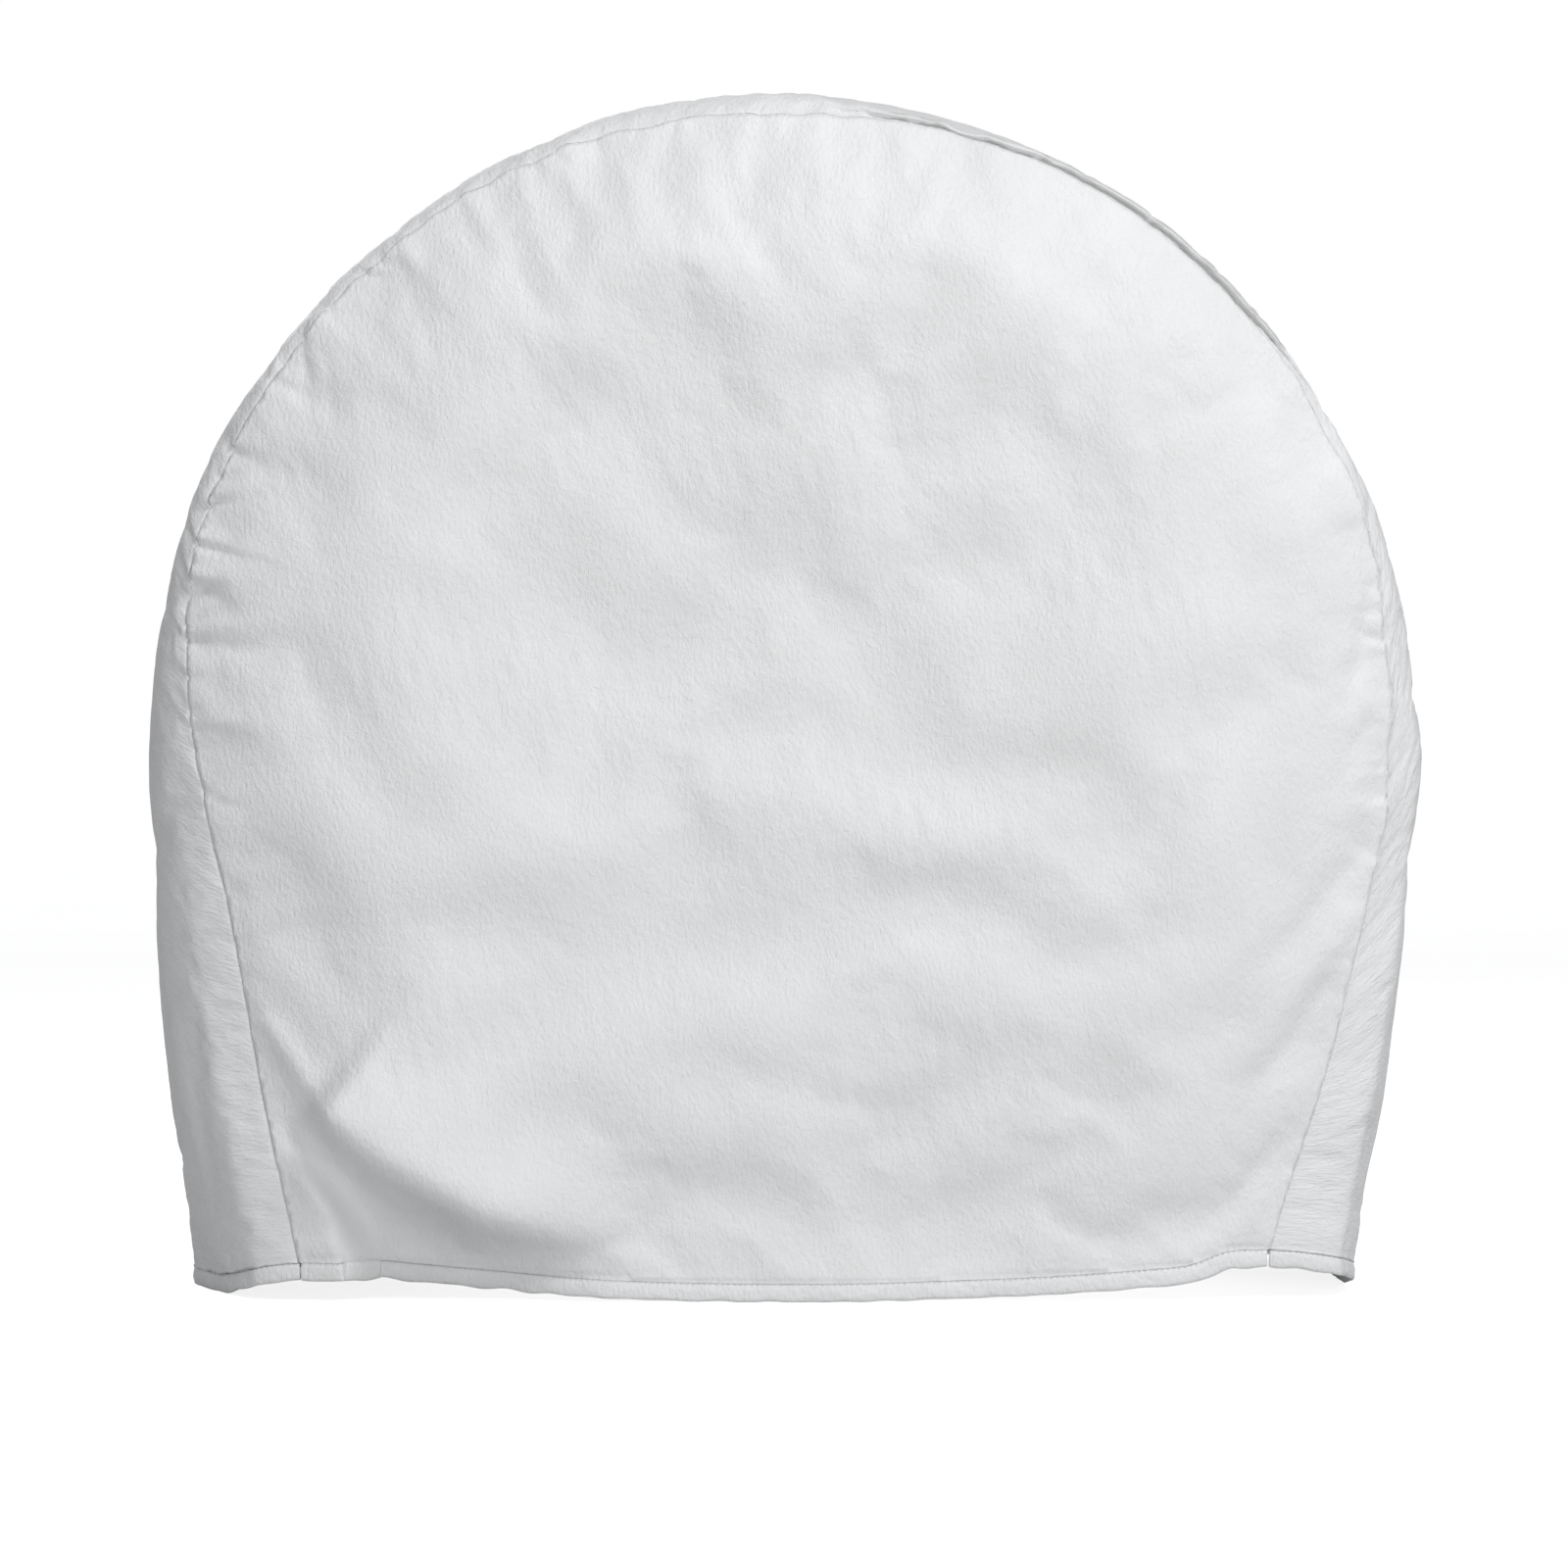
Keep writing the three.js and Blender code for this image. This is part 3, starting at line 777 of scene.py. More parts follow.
# ---------------------------------------------------------------- hems, bindings and thread
def carried(path, side, up, shape):
    """A closed solid with flat ends, from a section of (sideways, up) pairs at each point of a path."""
    rows, columns = shape.shape[:2]
    grid = path[:, None] + side[:, None] * shape[..., :1] + up[:, None] * shape[..., 1:]
    faces = grid_faces(rows, columns, closed=True).tolist()
    faces.append(list(range(columns))[::-1])
    faces.append(list(range((rows - 1) * columns, rows * columns)))
    return grid.reshape(-1, 3), faces


def swept(path, facing, section, bulge):
    """A section of (outward, up) pairs and its bulges carried along a path, drawn in a little at the ends."""
    shape = section + bulge
    shape[[0, -1]] = lerp(section.mean(0), shape[[0, -1]], 0.94)
    up = unit(np.cross(np.gradient(path, axis=0), facing))
    up *= np.where(up[:, 2:3] < 0, -1, 1)
    points, faces = carried(path, facing, up, shape)
    return points, faces, crossed(reach_along(path), reach_along(section)).reshape(-1, 2)


def resampled(path, step):
    """Points at even steps along a path."""
    reach = reach_along(path)
    count = round(reach[-1] / step)
    at = np.linspace(0, reach[-1], count + 1)
    return np.stack([np.interp(at, reach, path[:, k]) for k in range(3)], 1), at


# A folded hem's section below its stitch line, as millimetres outwards and up.
HEM_SECTION = (
    (-0.45, -0.2), (0.0, -0.75), (0.45, -2.2), (0.7, -4.3), (0.72, -6.6), (0.55, -8.6), (0.1, -10.1),
    (-0.7, -10.65), (-1.7, -10.5), (-2.5, -9.4), (-2.75, -6.5), (-2.75, -1.5), (-2.6, 0.4), (-1.9, 0.9),
    (-1.1, 0.3),
)


def plan_outward(path, centre=(0.0, 0.03)):
    """Unit vectors square to a path in plan, pointing away from the middle of the cover."""
    tangent = np.gradient(path, axis=0)
    out = unit(np.stack([tangent[:, 1], -tangent[:, 0], np.zeros(len(path))], 1))
    away = path[:, :2] - np.array(centre)
    return out * np.where((out[:, :2] * away).sum(1) < 0, -1, 1)[:, None]


def hem_shape(at, section, seed, dents=()):
    """How a hem's section puckers between its stitches, and where a seam crosses it."""
    section = np.asarray(section, float) * MM
    face = np.clip(section[:, 0] / (0.7 * MM), 0, 1)[None, :]
    low = np.clip(-section[:, 1] / (10 * MM), 0, 1)[None, :]
    twist = crossed(at, 3 * section[:, 1])
    twist[..., 0] += 0.5 * section[:, 1]
    pucker = 0.20 * MM * waves(twist.reshape(-1, 2), 0.012, seed).reshape(twist.shape[:2])
    pucker += 0.30 * MM * low * waves(at, 0.045, seed + 1)[:, None]
    for dent in dents:
        pucker = pucker - 0.55 * MM * np.exp(-(((at - dent) / 0.0007) ** 2))[:, None]
    moved = np.zeros(twist.shape[:2] + (2,))
    moved[..., 0] = pucker * (0.25 + 0.75 * face)
    moved[..., 1] = 0.25 * MM * low * waves(at, 0.03, seed + 2)[:, None]
    return moved


def hem(name, path, node, vinyl, seed, dents=()):
    """A folded hem below a path along its stitch line: the piece, and where its stitches go."""
    path, at = resampled(path, 1.2 * MM)
    facing = plan_outward(path)
    section = np.array(HEM_SECTION) * MM
    points, faces, uv = swept(path, facing, section, hem_shape(at, HEM_SECTION, seed, dents))
    points[:, 2] = np.maximum(points[:, 2], 0)
    piece = make(name, points, faces, uv, vinyl, stands_for=(node,))
    return piece, path + facing * 0.5 * MM, facing


STITCH_PITCH, STITCH_LENGTH, THREAD_RADIUS = 3.5 * MM, 2.6 * MM, 0.28 * MM
STITCH_GIRTH = np.array([0.35, 0.8, 1, 1, 1, 0.8, 0.35]) * THREAD_RADIUS
STITCH_DIP = np.array([2.2, 0.9, 0.1, 0, 0.1, 0.9, 2.2]) * THREAD_RADIUS


def read_along(values, reach, at):
    """Vectors given at points of a path, read at other places along it."""
    return np.stack([np.interp(at, reach, values[:, k]) for k in range(3)], 2)


def thread(name, path, facing, material, body="shell", blend=None):
    """A row of lockstitches: short rounded lengths of thread that dip into the cloth at both ends."""
    reach = reach_along(path)
    centres = np.arange(0.6 * STITCH_PITCH, reach[-1] - 0.4 * STITCH_PITCH, STITCH_PITCH)
    rng = np.random.default_rng(len(centres))
    centres = centres + rng.normal(0, 0.06 * MM, len(centres))
    where = np.linspace(-0.5, 0.5, len(STITCH_DIP))
    spin = np.linspace(0, 2 * math.pi, 6, endpoint=False)
    at = centres[:, None] + where[None, :] * STITCH_LENGTH
    spot = read_along(path, reach, at)
    out = read_along(facing, reach, at)
    side = np.cross(unit(read_along(path, reach, at + 0.5 * MM) - spot), out)
    slant = rng.normal(0, 0.08 * MM, len(centres))[:, None] * where[None, :] * 2
    spot = spot - out * STITCH_DIP[None, :, None] + side * slant[..., None]
    turn = spin[None, None, :, None]
    ring = np.cos(turn) * out[:, :, None] + np.sin(turn) * side[:, :, None]
    points = (spot[:, :, None] + ring * STITCH_GIRTH[None, :, None, None]).reshape(-1, 3)
    around, wall = len(spin), grid_faces(len(where), len(spin), closed=True)
    faces = []
    for base in range(0, len(points), len(where) * around):
        faces.extend((wall + base).tolist())
        faces.append([base + i for i in range(around)][::-1])
        faces.append([base + (len(where) - 1) * around + i for i in range(around)])
    uv = crossed(at.ravel(), spin * THREAD_RADIUS).reshape(-1, 2)
    return make(name, points, faces, uv, material, body=body, blend=blend)


def rounded_section(wide, tall, corner, per_corner=4):
    """A rounded rectangle as (across, up) pairs."""
    found = []
    for quarter, (sx, sy) in enumerate(((1, 1), (-1, 1), (-1, -1), (1, -1))):
        for a in np.linspace(0, math.pi / 2, per_corner):
            turn = quarter * math.pi / 2 + a
            x = sx * (wide / 2 - corner) + corner * math.cos(turn)
            y = sy * (tall / 2 - corner) + corner * math.sin(turn)
            found.append((x, y))
    return np.array(found)


TAPE_WIDTH, TAPE_THICKNESS = 9 * MM, 2.4 * MM


def front_tape_path(finder):
    """Behind the front panel's lining, a little way in from the seam."""
    seam = seam_curve(np.linspace(0.016, 0.984, 1401))
    inset = [seam - outward(seam) * way_in * MM for way_in in (5, 9.5, 14)]
    path = inset[1]
    path[:, 1] = np.max([panel_y(line[:, 0], line[:, 2], finder) for line in inset], axis=0) + 8 * MM
    return path


def rear_tape_path():
    """Just inside the seam between the band and the rear halves."""
    low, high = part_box("rear_seam_binding")
    middle = high.x - TAPE_WIDTH / 2
    x, z = arch(middle, middle, np.linspace(0, 1, 1401), foot=low.z)
    return np.stack([x, np.full_like(x, (low.y + high.y) / 2), z], 1)


def seam_tape(name, node, path, material, seed):
    """A tape sewn flat along a seam, a little ruffled."""
    out = np.cross(unit(np.gradient(path, axis=0)), BACK)
    section = rounded_section(TAPE_WIDTH, TAPE_THICKNESS, TAPE_THICKNESS * 0.45)
    at = np.linspace(0, SEAM_LENGTH, len(path))
    spread = crossed(at, 2.5 * section[:, 0]).reshape(-1, 2)
    wave = 0.2 * MM * waves(spread, 0.02, seed).reshape(len(path), -1)
    shape = section[None] + np.stack([np.zeros_like(wave), wave], 2)
    keep = np.ones(len(path))
    keep[[0, -1]], keep[[1, -2]] = 0.6, 0.95
    points, faces = carried(path, out, np.broadcast_to(BACK, path.shape), shape * keep[:, None, None])
    uv = crossed(at, reach_along(section)).reshape(-1, 2)
    return make(name, points, faces, uv, material, stands_for=(node,))


# ---------------------------------------------------------------- the rear cloth, its casing and its flaps
# The heights between which the rear cloth turns with its flap, and each side's sign in X and t at its foot.
BEND_START, BEND_END = 0.40, 0.10
SIDES = {"left": (-1, 0.0), "right": (1, 1.0)}


def side_rows(side, count):
    """t from the crown down to one foot."""
    return np.linspace(0.5, SIDES[side][1], count)


def bend_for(side):
    """Where the rear cloth starts and stops turning with its flap."""
    x = SIDES[side][0] * REAR_RADIUS
    return (x, REAR_CLOTH_Y, BEND_START), (x, REAR_CLOTH_Y, BEND_END)


def gathers(at, share, seed):
    """Folds that the elastic draws into the rear cloth: deepest at the casing, fading towards the seam."""
    spot = np.stack([at.ravel(), 0.0144 * share.ravel()], 1)
    fine = waves(spot, 0.022, seed, spread=0.25).reshape(at.shape)
    broad = waves(spot, 0.055, seed + 1).reshape(at.shape)
    return 1.7 * MM * fine * share**1.6 + 1.5 * MM * broad * share * (1.4 - share)


def rear_grid(side, rows, columns, seed):
    """One rear half: rows from the crown down to the foot, columns from the seam in to the casing."""
    t = side_rows(side, rows)
    share = np.linspace(0, 1, columns)
    inner = OPENING + CASING_WIDTH - 2 * MM
    radii = lerp(REAR_RADIUS, inner, share)
    foot = FLAP_HEM_TOP - 1.2 * MM
    x, z = zip(*(arch(r, r, t, foot=foot) for r in radii))
    x, z = np.array(x).T, np.array(z).T
    at = np.broadcast_to(t[:, None] * SEAM_LENGTH, x.shape)
    share = np.broadcast_to(share[None, :], x.shape)
    calm = smooth(np.abs(t - SIDES[side][1]) / 0.03)[:, None] * 0.85 + 0.15
    y = REAR_CLOTH_Y + 0.3 * MM + gathers(at, share, seed) * calm
    x = np.where(np.abs(x) < SEAM_GAP, SIDES[side][0] * SEAM_GAP, x)
    return t, np.stack([x, y, z], 2)


def build_rear(side, vinyl, felt, elastic, thread_material):
    """One half of the rear: cloth, lining, casing, elastic, and the flap at its foot."""
    sign = SIDES[side][0]
    body = f"{side}_flap"
    bend = bend_for(side)
    rows, columns = 241, 25
    t, grid = rear_grid(side, rows, columns, 71 + sign)
    turned = slice(None, None, -1 if sign > 0 else 1)
    faces = grid_faces(rows, columns)[:, turned]
    held = grid_rim(rows, columns)
    settled = settle(grid.reshape(-1, 3), faces, held, excess=0.02, cap=3 * MM, seed=73 + sign)
    settled = settled.reshape(grid.shape)
    fine = double(double(settled, 0), 1)
    at = np.linspace(t[0], t[-1], len(fine)) * SEAM_LENGTH
    away = np.linspace(0, 1, fine.shape[1]) * (REAR_RADIUS - OPENING - CASING_WIDTH)
    spread = crossed(at, away)
    inner = smooth(away / 0.01) * smooth((away[-1] - away) / 0.006)
    fine[..., 1] += 0.12 * MM * waves(spread.reshape(-1, 2), 0.011, 75).reshape(fine.shape[:2]) * inner
    fine_faces = grid_faces(*fine.shape[:2])[:, turned]
    fine[:, 0, 1] += 0.15 * MM
    cloth = make(
        f"rear_cloth_{side}", fine.reshape(-1, 3), fine_faces, spread.reshape(-1, 2), vinyl,
        body=body, blend=bend, stands_for=(f"rear_panel_{side}", f"{side}_flap_panel"),
    )
    back = settled[:-1, 1:-2] - BACK * 1.1 * MM
    lining_faces = grid_faces(*back.shape[:2])[:, turned]
    back = back.reshape(-1, 3)
    solid, lining_faces = thicken(back, lining_faces, np.broadcast_to(BACK, back.shape), FELT_THICKNESS)
    lining = make(
        f"rear_felt_{side}", solid, lining_faces, solid[:, [0, 2]], felt,
        body=body, blend=bend, stands_for=(f"rear_lining_{side}", f"{side}_flap_lining"),
    )
    casing, strip, stitches = build_casing(side, body, bend, vinyl, elastic, thread_material)
    hem_piece, hem_thread = build_flap_hem(side, body, settled[-1], vinyl, thread_material)
    return cloth, lining, casing, strip, stitches, hem_piece, hem_thread


CASING_WALL = 1.5 * MM
ELASTIC_WIDTH, ELASTIC_THICKNESS = 10 * MM, 1.3 * MM


def casing_path(side):
    """The middle of the channel along the opening: how far along, where, and which way is out."""
    sign = SIDES[side][0]
    t = side_rows(side, 700)
    middle = OPENING + CASING_WIDTH / 2
    x, z = arch(middle, middle, t, foot=FLAP_HEM_TOP)
    x[0] = sign * SEAM_GAP
    y = (CASING_LOW.y + CASING_HIGH.y) / 2
    path = np.stack([x, np.full_like(x, y), z], 1)
    out = np.cross(unit(np.gradient(path, axis=0)), BACK)
    out *= np.sign((out * (path - np.array([0, y, AXLE_Z]))).sum(1))[:, None]
    return t * SEAM_LENGTH, path, out


def tube_faces(rows, many, few):
    """Faces of a tube whose rows each hold an outer ring of points and then a bore, with ring-shaped ends."""
    total = many + few
    faces = []
    for k in range(rows - 1):
        for base, count in ((0, many), (many, few)):
            for j in range(count):
                low, high = k * total + base, (k + 1) * total + base
                n = (j + 1) % count
                quad = (low + j, low + n, high + n, high + j)
                faces.append(quad if base == 0 else quad[::-1])
    for k in (0, rows - 1):
        for j in range(many):
            n = (j + 1) % many
            quad = (k * total + j, k * total + n, k * total + many + n, k * total + many + j)
            faces.append(quad[::-1] if k == 0 else quad)
    return faces


def build_casing(side, body, bend, vinyl, elastic, thread_material):
    """The gathered channel along the opening, the elastic in it, and its stitches."""
    sign = SIDES[side][0]
    at, path, out = casing_path(side)
    deep = CASING_HIGH.y - CASING_LOW.y
    skin = rounded_section(CASING_WIDTH, deep, 2.2 * MM)
    bore = rounded_section(CASING_WIDTH - 2 * CASING_WALL, deep - 2 * CASING_WALL, 0.9 * MM)
    spread = crossed(at, 1.3 * skin[:, 0]).reshape(-1, 2)
    pinch = waves(spread, 0.0075, 81 + sign, spread=0.25).reshape(len(at), -1)
    flutter = waves(at, 0.009, 83 + sign)[:, None]
    shape = skin[None] * np.stack(np.broadcast_arrays(1 + 0.025 * flutter, 0.94 + 0.17 * pinch), 2)
    rings = np.concatenate([shape, np.broadcast_to(bore[None], (len(at),) + bore.shape)], 1)
    grid = path[:, None] + out[:, None] * rings[..., :1] + BACK * rings[..., 1:]
    across = np.concatenate([np.linspace(0, 0.03, len(skin)), np.linspace(0, 0.02, len(bore))])
    casing = make(
        f"elastic_casing_{side}", grid.reshape(-1, 3), tube_faces(len(at), len(skin), len(bore)),
        crossed(at, across).reshape(-1, 2), vinyl,
        body=body, blend=bend, stands_for=(f"rear_casing_{side}", f"{side}_flap_casing"),
    )
    band = rounded_section(ELASTIC_WIDTH, ELASTIC_THICKNESS, 0.5 * MM, per_corner=3)
    kept = slice(2, len(at) - 3)
    ribbed = np.broadcast_to(band, (len(at[kept]),) + band.shape)
    points, faces = carried(path[kept], out[kept], np.broadcast_to(BACK, out[kept].shape), ribbed)
    uv = crossed(at[kept], np.linspace(0, 0.022, len(band))).reshape(-1, 2)
    nodes = (f"rear_elastic_{side}", f"{side}_flap_elastic")
    strip = make(
        f"elastic_{side}", points, faces, uv, elastic, body=body, blend=bend, stands_for=nodes,
    )
    edge = path + out * (CASING_WIDTH / 2 - 0.9 * MM)
    edge[:, 1] = CASING_HIGH.y - 1.15 * MM
    edge = edge[4:-6]
    facing = np.broadcast_to(BACK, edge.shape)
    stitches = thread(f"casing_thread_{side}", edge, facing, thread_material, body=body, blend=bend)
    return casing, strip, stitches


def build_flap_hem(side, body, foot_row, vinyl, thread_material):
    """The hem across the foot of one rear flap, and its stitches."""
    sign = SIDES[side][0]
    low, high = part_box(f"{side}_flap_hem")
    edge = np.linspace(low.x + 0.4 * MM, high.x - 0.4 * MM, 60)
    y = np.interp(np.abs(edge), np.abs(foot_row[::-1, 0]), foot_row[::-1, 1])
    path = np.stack([edge, y, np.full_like(edge, high.z - 1.2 * MM)], 1)
    path, at = resampled(path, 1.2 * MM)
    facing = np.broadcast_to(BACK, path.shape)
    section = np.array(HEM_SECTION) * MM
    section[:, 0] += 0.9 * MM
    points, faces, uv = swept(path, facing, section, hem_shape(at, HEM_SECTION, 91 + sign))
    piece = make(f"flap_hem_{side}", points, faces, uv, vinyl, body=body, stands_for=(f"{side}_flap_hem",))
    seam = path + facing * 1.1 * MM
    return piece, thread(f"flap_hem_thread_{side}", seam, facing, thread_material, body=body)


def build_centre_tape(tape):
    """The tape that backs the seam where the two rear halves meet."""
    across = np.linspace(TAPE_LOW.x, TAPE_HIGH.x, 13)
    up = np.linspace(TAPE_LOW.z, TAPE_HIGH.z, 44)
    grid = np.stack(np.broadcast_arrays(across[None, :], TAPE_HIGH.y, up[:, None]), 2).astype(float)
    flat = grid.reshape(-1, 3)
    flat[:, 1] += 0.15 * MM * waves(flat[:, [0, 2]], 0.02, 95) - 0.1 * MM
    deep = TAPE_HIGH.y - TAPE_LOW.y
    points, faces = thicken(flat, grid_faces(len(up), len(across)), np.broadcast_to(BACK, flat.shape), deep)
    uv = points[:, [0, 2]]
    return make("centre_seam_tape", points, faces, uv, tape, stands_for=("rear_centre_seam_tape",))


# ---------------------------------------------------------------- materials
class Finish:
    """A node material that follows the cloth: its textures use the metres of the "cloth" UV map."""

    def __init__(self, name, colour, roughness):
        self.material = bpy.data.materials.new(name)
        self.material.use_nodes = True
        self.nodes = self.material.node_tree.nodes
        self.links = self.material.node_tree.links
        self.shader = self.nodes["Principled BSDF"]
        self.shader.inputs["Base Color"].default_value = (*colour, 1)
        self.shader.inputs["Roughness"].default_value = roughness
        self.height = None
        where = self.nodes.new("ShaderNodeUVMap")
        where.uv_map = "cloth"
        self.cloth = where.outputs["UV"]

    def placed(self, scale, turn=0.0):
        """The cloth's coordinates, turned and stretched."""
        mapping = self.nodes.new("ShaderNodeMapping")
        mapping.inputs["Rotation"].default_value = (0, 0, math.radians(turn))
        mapping.inputs["Scale"].default_value = (*scale, 1)
        self.links.new(self.cloth, mapping.inputs["Vector"])
        return mapping.outputs["Vector"]

    def texture(self, kind, scale, turn, **settings):
        texture = self.nodes.new(f"ShaderNodeTex{kind}")
        texture.inputs["Scale"].default_value = 1.0
        for socket, number in settings.items():
            texture.inputs[socket].default_value = number
        self.links.new(self.placed(scale, turn), texture.inputs["Vector"])
        return texture

    def noise(self, scale, turn=0.0, detail=2.0, rough=0.5, distortion=0.0):
        settings = {"Detail": detail, "Roughness": rough, "Distortion": distortion}
        return self.texture("Noise", scale, turn, **settings).outputs["Fac"]

    def cells(self, scale, turn=0.0):
        texture = self.texture("Voronoi", scale, turn)
        texture.feature = "DISTANCE_TO_EDGE"
        return texture.outputs["Distance"]

    def ribs(self, scale, turn=0.0):
        return self.texture("Wave", scale, turn, Distortion=0.6, Detail=1.0).outputs["Fac"]

    def ranged(self, value, out_low, out_high):
        """The middle part of a noise's range, spread between two numbers."""
        mapped = self.nodes.new("ShaderNodeMapRange")
        settings = {"From Min": 0.3, "From Max": 0.7, "To Min": out_low, "To Max": out_high}
        for socket, number in settings.items():
            mapped.inputs[socket].default_value = number
        self.links.new(value, mapped.inputs["Value"])
        return mapped.outputs["Result"]

    def bump(self, value, depth):
        """Adds relief of that depth in metres."""
        node = self.nodes.new("ShaderNodeBump")
        node.inputs["Distance"].default_value = depth
        self.links.new(value, node.inputs["Height"])
        if self.height is not None:
            self.links.new(self.height, node.inputs["Normal"])
        self.height = node.outputs["Normal"]
        self.links.new(self.height, self.shader.inputs["Normal"])

    def tint(self, value, first, second):
        ramp = self.nodes.new("ShaderNodeMix")
        ramp.data_type = "RGBA"
        self.links.new(value, ramp.inputs["Factor"])
        ramp.inputs["A"].default_value = (*first, 1)
        ramp.inputs["B"].default_value = (*second, 1)
        self.links.new(ramp.outputs["Result"], self.shader.inputs["Base Color"])

    def glow_when_seen(self, strength):
        """Light that a pale stage shows to the eye but doesn't throw on the object."""
        ray = self.nodes.new("ShaderNodeLightPath")
        share = self.nodes.new("ShaderNodeMath")
        share.operation = "MULTIPLY"
        share.inputs[1].default_value = strength
        self.links.new(ray.outputs["Is Camera Ray"], share.inputs[0])
        self.links.new(share.outputs["Value"], self.shader.inputs["Emission Strength"])

    def gloss(self, value, low, high):
        self.links.new(self.ranged(value, low, high), self.shader.inputs["Roughness"])


def vinyl_finish():
    """White marine vinyl with a fine leather grain, a little uneven in tone and gloss."""
    finish = Finish("white grained vinyl", (0.82, 0.825, 0.83), 0.5)
    finish.shader.inputs["Specular IOR Level"].default_value = 0.4
    finish.shader.inputs["Sheen Weight"].default_value = 0.06
    tone = finish.ranged(finish.noise((14, 11), detail=4, rough=0.6), 0, 1)
    finish.tint(tone, (0.795, 0.798, 0.80), (0.845, 0.85, 0.855))
    finish.gloss(finish.noise((60, 40), turn=14, detail=3), 0.46, 0.60)
    finish.bump(finish.noise((430, 230), turn=-48, detail=3, rough=0.5, distortion=0.3), 0.85 * MM)
    finish.bump(finish.noise((900, 760), turn=20, detail=2), 0.16 * MM)
    finish.bump(finish.cells((640, 520), turn=-48), 0.18 * MM)
    return finish.material


def felt_finish():
    """Pressed felt: matt, a little grey, fibrous."""
    finish = Finish("pressed felt", (0.70, 0.70, 0.69), 0.95)
    finish.shader.inputs["Specular IOR Level"].default_value = 0.15
    finish.shader.inputs["Sheen Weight"].default_value = 0.35
    finish.shader.inputs["Sheen Roughness"].default_value = 0.6
    tone = finish.ranged(finish.noise((90, 70), detail=5, rough=0.7), 0, 1)
    finish.tint(tone, (0.62, 0.62, 0.61), (0.74, 0.74, 0.73))
    finish.bump(finish.noise((900, 260), turn=30, detail=4, rough=0.7), 0.5 * MM)
    finish.bump(finish.noise((260, 900), turn=-20, detail=4, rough=0.7), 0.4 * MM)
    return finish.material


def tape_finish():
    """Woven polyester tape with a fine cross rib."""
    finish = Finish("woven tape", (0.78, 0.78, 0.77), 0.8)
    finish.shader.inputs["Sheen Weight"].default_value = 0.2
    tone = finish.ranged(finish.noise((200, 60), detail=3), 0, 1)
    finish.tint(tone, (0.72, 0.72, 0.71), (0.80, 0.80, 0.79))
    finish.bump(finish.ribs((260, 0)), 0.25 * MM)
    finish.bump(finish.ribs((420, 420), turn=45), 0.12 * MM)
    return finish.material


def elastic_finish():
    """Braided elastic: ridges along it, crossed by a fine weave."""
    finish = Finish("braided elastic", (0.80, 0.80, 0.79), 0.75)
    finish.shader.inputs["Sheen Weight"].default_value = 0.15
    # Painted shade: the tint follows the same ribs as the bump, darker in the grooves between the ridges.
    finish.tint(finish.ribs((0, 330)), (0.62, 0.62, 0.61), (0.80, 0.80, 0.79))
    finish.bump(finish.ribs((0, 330)), 0.35 * MM)
    finish.bump(finish.ribs((500, 200), turn=20), 0.12 * MM)
    return finish.material


def thread_finish():
    """White bonded thread, twisted."""
    finish = Finish("white thread", (0.83, 0.83, 0.84), 0.55)
    # Painted shade: the tint follows the same twist ribs as the bump, darker in the grooves between the
    # strands.
    finish.tint(finish.ribs((700, 1500), turn=35), (0.70, 0.70, 0.71), (0.86, 0.86, 0.87))
    finish.bump(finish.ribs((700, 1500), turn=35), 0.10 * MM)
    return finish.material


# ---------------------------------------------------------------- stage, light and camera
VIEW_HEIGHT, VIEW_DISTANCE, VIEW_LEFT = 0.308, 3.215, 0.067
VIEW_TURN = math.radians(-1.2)
PANEL_FACE_Y = -0.055
ROOM_LIGHT = 0.34
FLOOR_HALF, WALL_START, WALL_CURVE, WALL_TOP = 9.0, 6.0, 2.0, 9.0


def build_stage():
    """A pale floor that runs up into a wall behind."""
    finish = Finish("pale floor", (0.6, 0.6, 0.6), 0.9)
    finish.shader.inputs["Specular IOR Level"].default_value = 0.0
    finish.shader.inputs["Emission Color"].default_value = (1, 1, 1, 1)
    finish.glow_when_seen(0.80)
    profile = [(-FLOOR_HALF, 0.0), (WALL_START, 0.0)]
    for a in np.linspace(0.1, math.pi / 2, 16):
        profile.append((WALL_START + WALL_CURVE * math.sin(a), WALL_CURVE * (1 - math.cos(a))))
    profile.append((WALL_START + WALL_CURVE, WALL_TOP))
    points = [(x, y, z) for y, z in profile for x in (-FLOOR_HALF, FLOOR_HALF)]
    faces = [(2 * k, 2 * k + 1, 2 * k + 3, 2 * k + 2) for k in range(len(profile) - 1)]
    mesh = bpy.data.meshes.new("floor")
    mesh.from_pydata(points, [], faces)
    layer = mesh.uv_layers.new(name="cloth")
    for loop in mesh.loops:
        x, y, z = mesh.vertices[loop.vertex_index].co
        layer.data[loop.index].uv = (x, y + z)
    mesh.materials.append(finish.material)
    floor = bpy.data.objects.new("floor", mesh)
    bpy.context.scene.collection.objects.link(floor)


def area_light(name, place, aim, size, power, colour=(1, 1, 1)):
    data = bpy.data.lights.new(name, "AREA")
    data.shape = "RECTANGLE"
    data.size, data.size_y = size
    data.energy = power
    data.color = colour
    lamp = bpy.data.objects.new(name, data)
    lamp.location = place
    lamp.rotation_euler = (Vector(aim) - Vector(place)).to_track_quat("-Z", "Y").to_euler()
    bpy.context.scene.collection.objects.link(lamp)


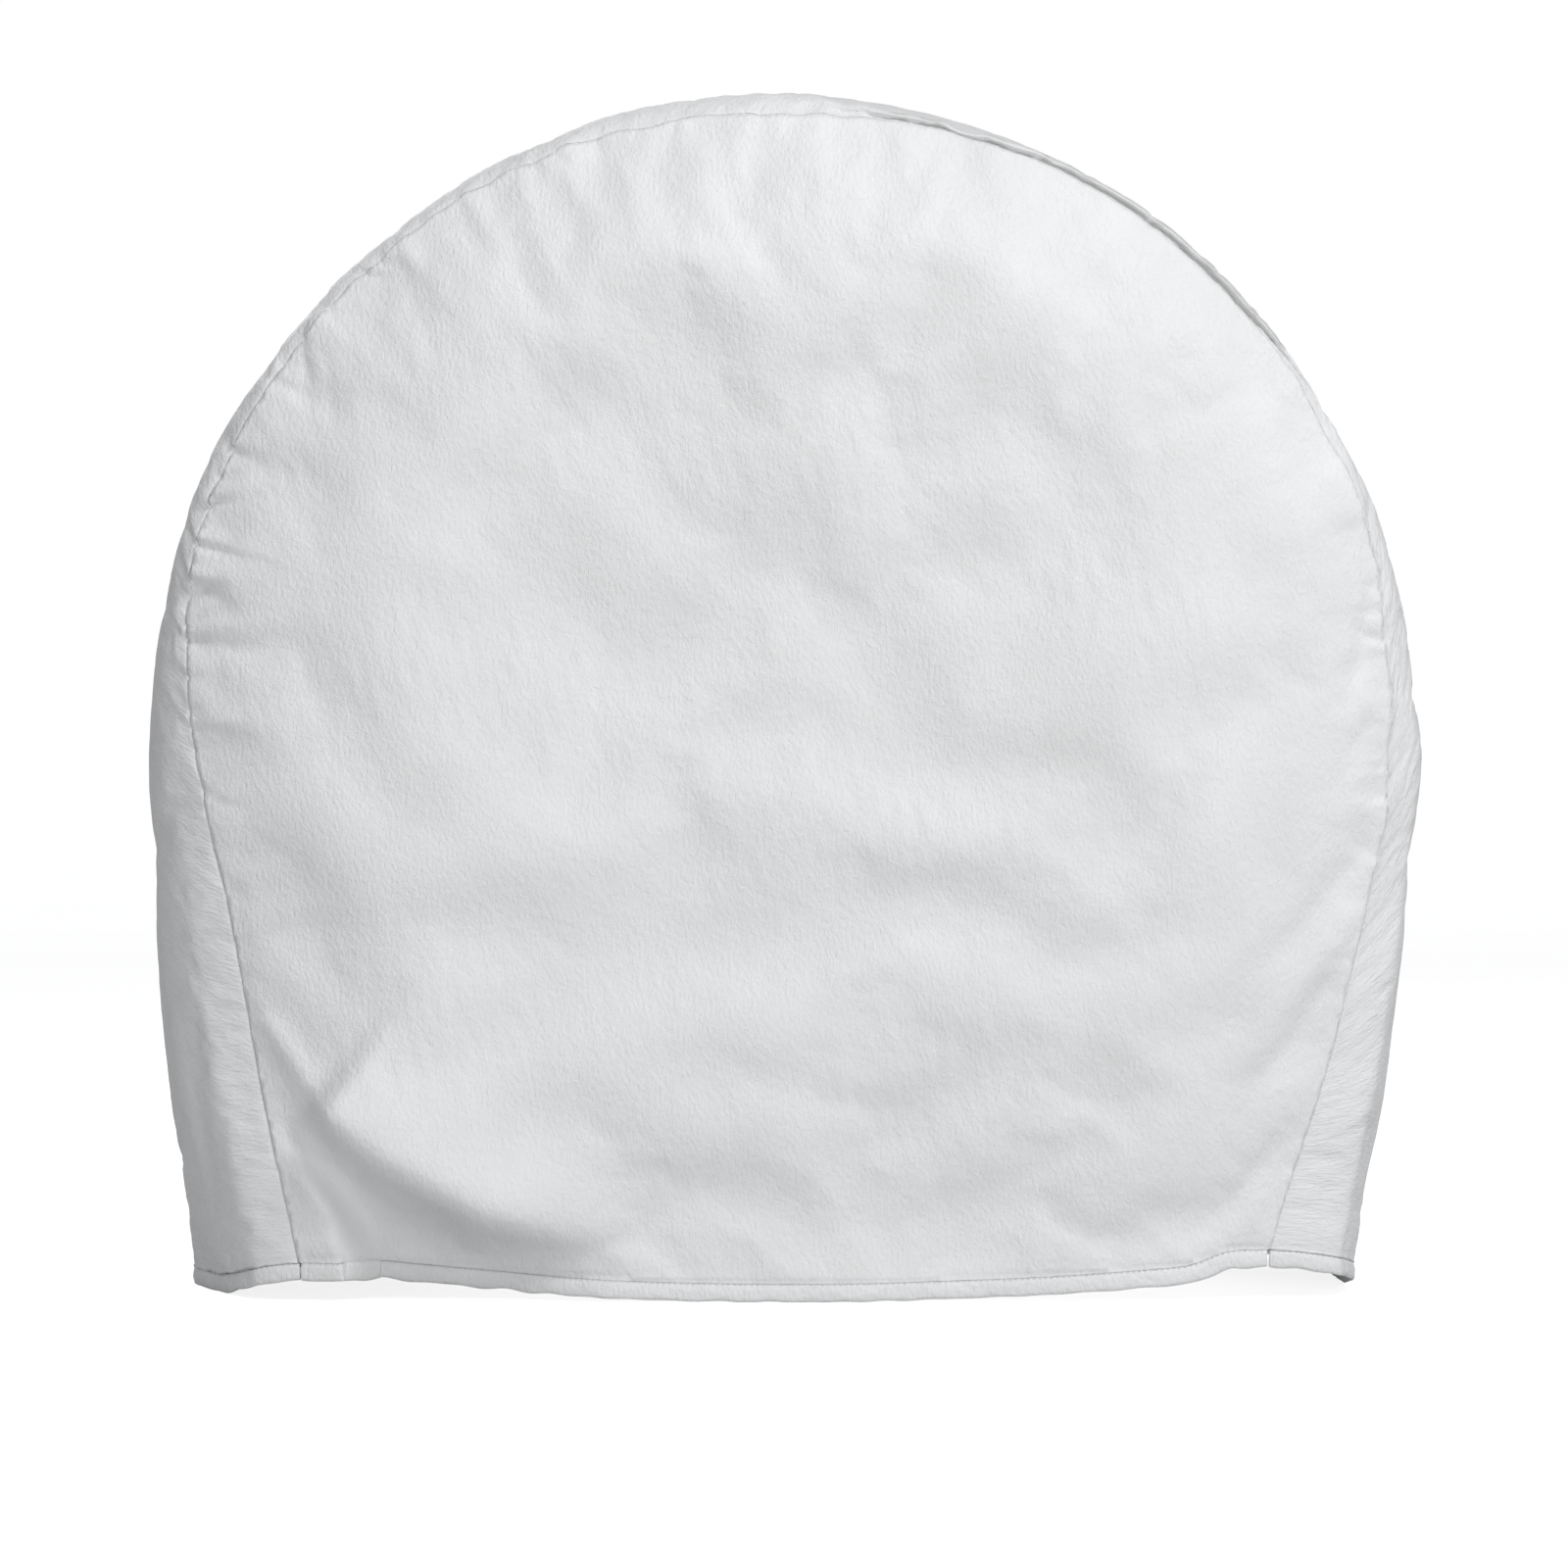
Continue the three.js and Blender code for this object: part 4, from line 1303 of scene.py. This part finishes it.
def build_light():
    """A dim room that looks white behind the stage, a key light from above right, and soft fill all round."""
    world = bpy.data.worlds.new("soft room")
    world.use_nodes = True
    nodes, links = world.node_tree.nodes, world.node_tree.links
    background = nodes["Background"]
    background.inputs["Color"].default_value = (0.97, 0.98, 1.0, 1)
    ray, seen = nodes.new("ShaderNodeLightPath"), nodes.new("ShaderNodeMapRange")
    seen.inputs["To Min"].default_value = ROOM_LIGHT
    seen.inputs["To Max"].default_value = 1.0
    links.new(ray.outputs["Is Camera Ray"], seen.inputs["Value"])
    links.new(seen.outputs["Result"], background.inputs["Strength"])
    bpy.context.scene.world = world
    middle = (0, -0.05, 0.36)
    area_light("key", (1.15, -1.95, 2.75), middle, (1.5, 1.2), 49)
    area_light("front", (0.5, -3.9, 0.5), middle, (2.4, 1.0), 36)
    area_light("behind", (-1.3, 3.0, 2.0), middle, (2.4, 1.6), 34)
    area_light("right", (2.6, -0.2, 1.0), middle, (0.8, 1.6), 4, (0.90, 0.96, 1.0))


def build_camera():
    """Level, a little left of the middle and turned back towards it, as the photograph was taken."""
    data = bpy.data.cameras.new("camera")
    data.lens = 122
    camera = bpy.data.objects.new("camera", data)
    camera.location = (-VIEW_LEFT, PANEL_FACE_Y - VIEW_DISTANCE, VIEW_HEIGHT)
    camera.rotation_euler = (math.radians(90), 0, VIEW_TURN)
    bpy.context.scene.collection.objects.link(camera)
    bpy.context.scene.camera = camera


# ---------------------------------------------------------------- the whole cover
def build():
    """Every piece of the cover, and its sheets."""
    vinyl, felt, tape = vinyl_finish(), felt_finish(), tape_finish()
    elastic, white_thread = elastic_finish(), thread_finish()
    panel, lining, finder = build_front_panel(vinyl, felt)
    band, band_lining, feet = build_band(vinyl, felt)

    across = np.linspace(-SEAM_FOOT - 0.4 * MM, SEAM_FOOT + 0.4 * MM, 400)
    z = STITCH_LINE + lift(across, np.full_like(across, STITCH_LINE))
    front_path = np.stack([across, panel_y(across, z, finder), z], 1)
    dents = (4 * MM, 2 * SEAM_FOOT - 4.6 * MM)
    front_hem, path, out = hem("front_hem_vinyl", front_path, "front_hem", vinyl, 101, dents)
    front_thread = thread("front_hem_thread", path, out, white_thread)
    band_trims = []
    for side, foot in feet.items():
        start = foot[0] - 0.9 * MM * (foot[1] - foot[0]) / np.linalg.norm(foot[1] - foot[0])
        foot_path = np.vstack([start, foot[:-1]])
        seed = 111 + len(band_trims)
        piece, path, out = hem(f"{side}_band_hem_vinyl", foot_path, f"{side}_band_hem", vinyl, seed)
        band_trims += [piece, thread(f"{side}_band_hem_thread", path, out, white_thread)]

    seam_tape("front_seam_tape", "front_seam_binding", front_tape_path(finder), tape, 121)
    seam_tape("rear_seam_tape", "rear_seam_binding", rear_tape_path(), tape, 122)
    build_centre_tape(tape)
    for side in SIDES:
        cloth, rear_lining, casing, strip, stitches, flap_hem, flap_thread = build_rear(
            side, vinyl, felt, elastic, white_thread
        )


build()
build_stage()
build_light()
build_camera()
bpy.context.scene.view_settings.view_transform = "Standard"
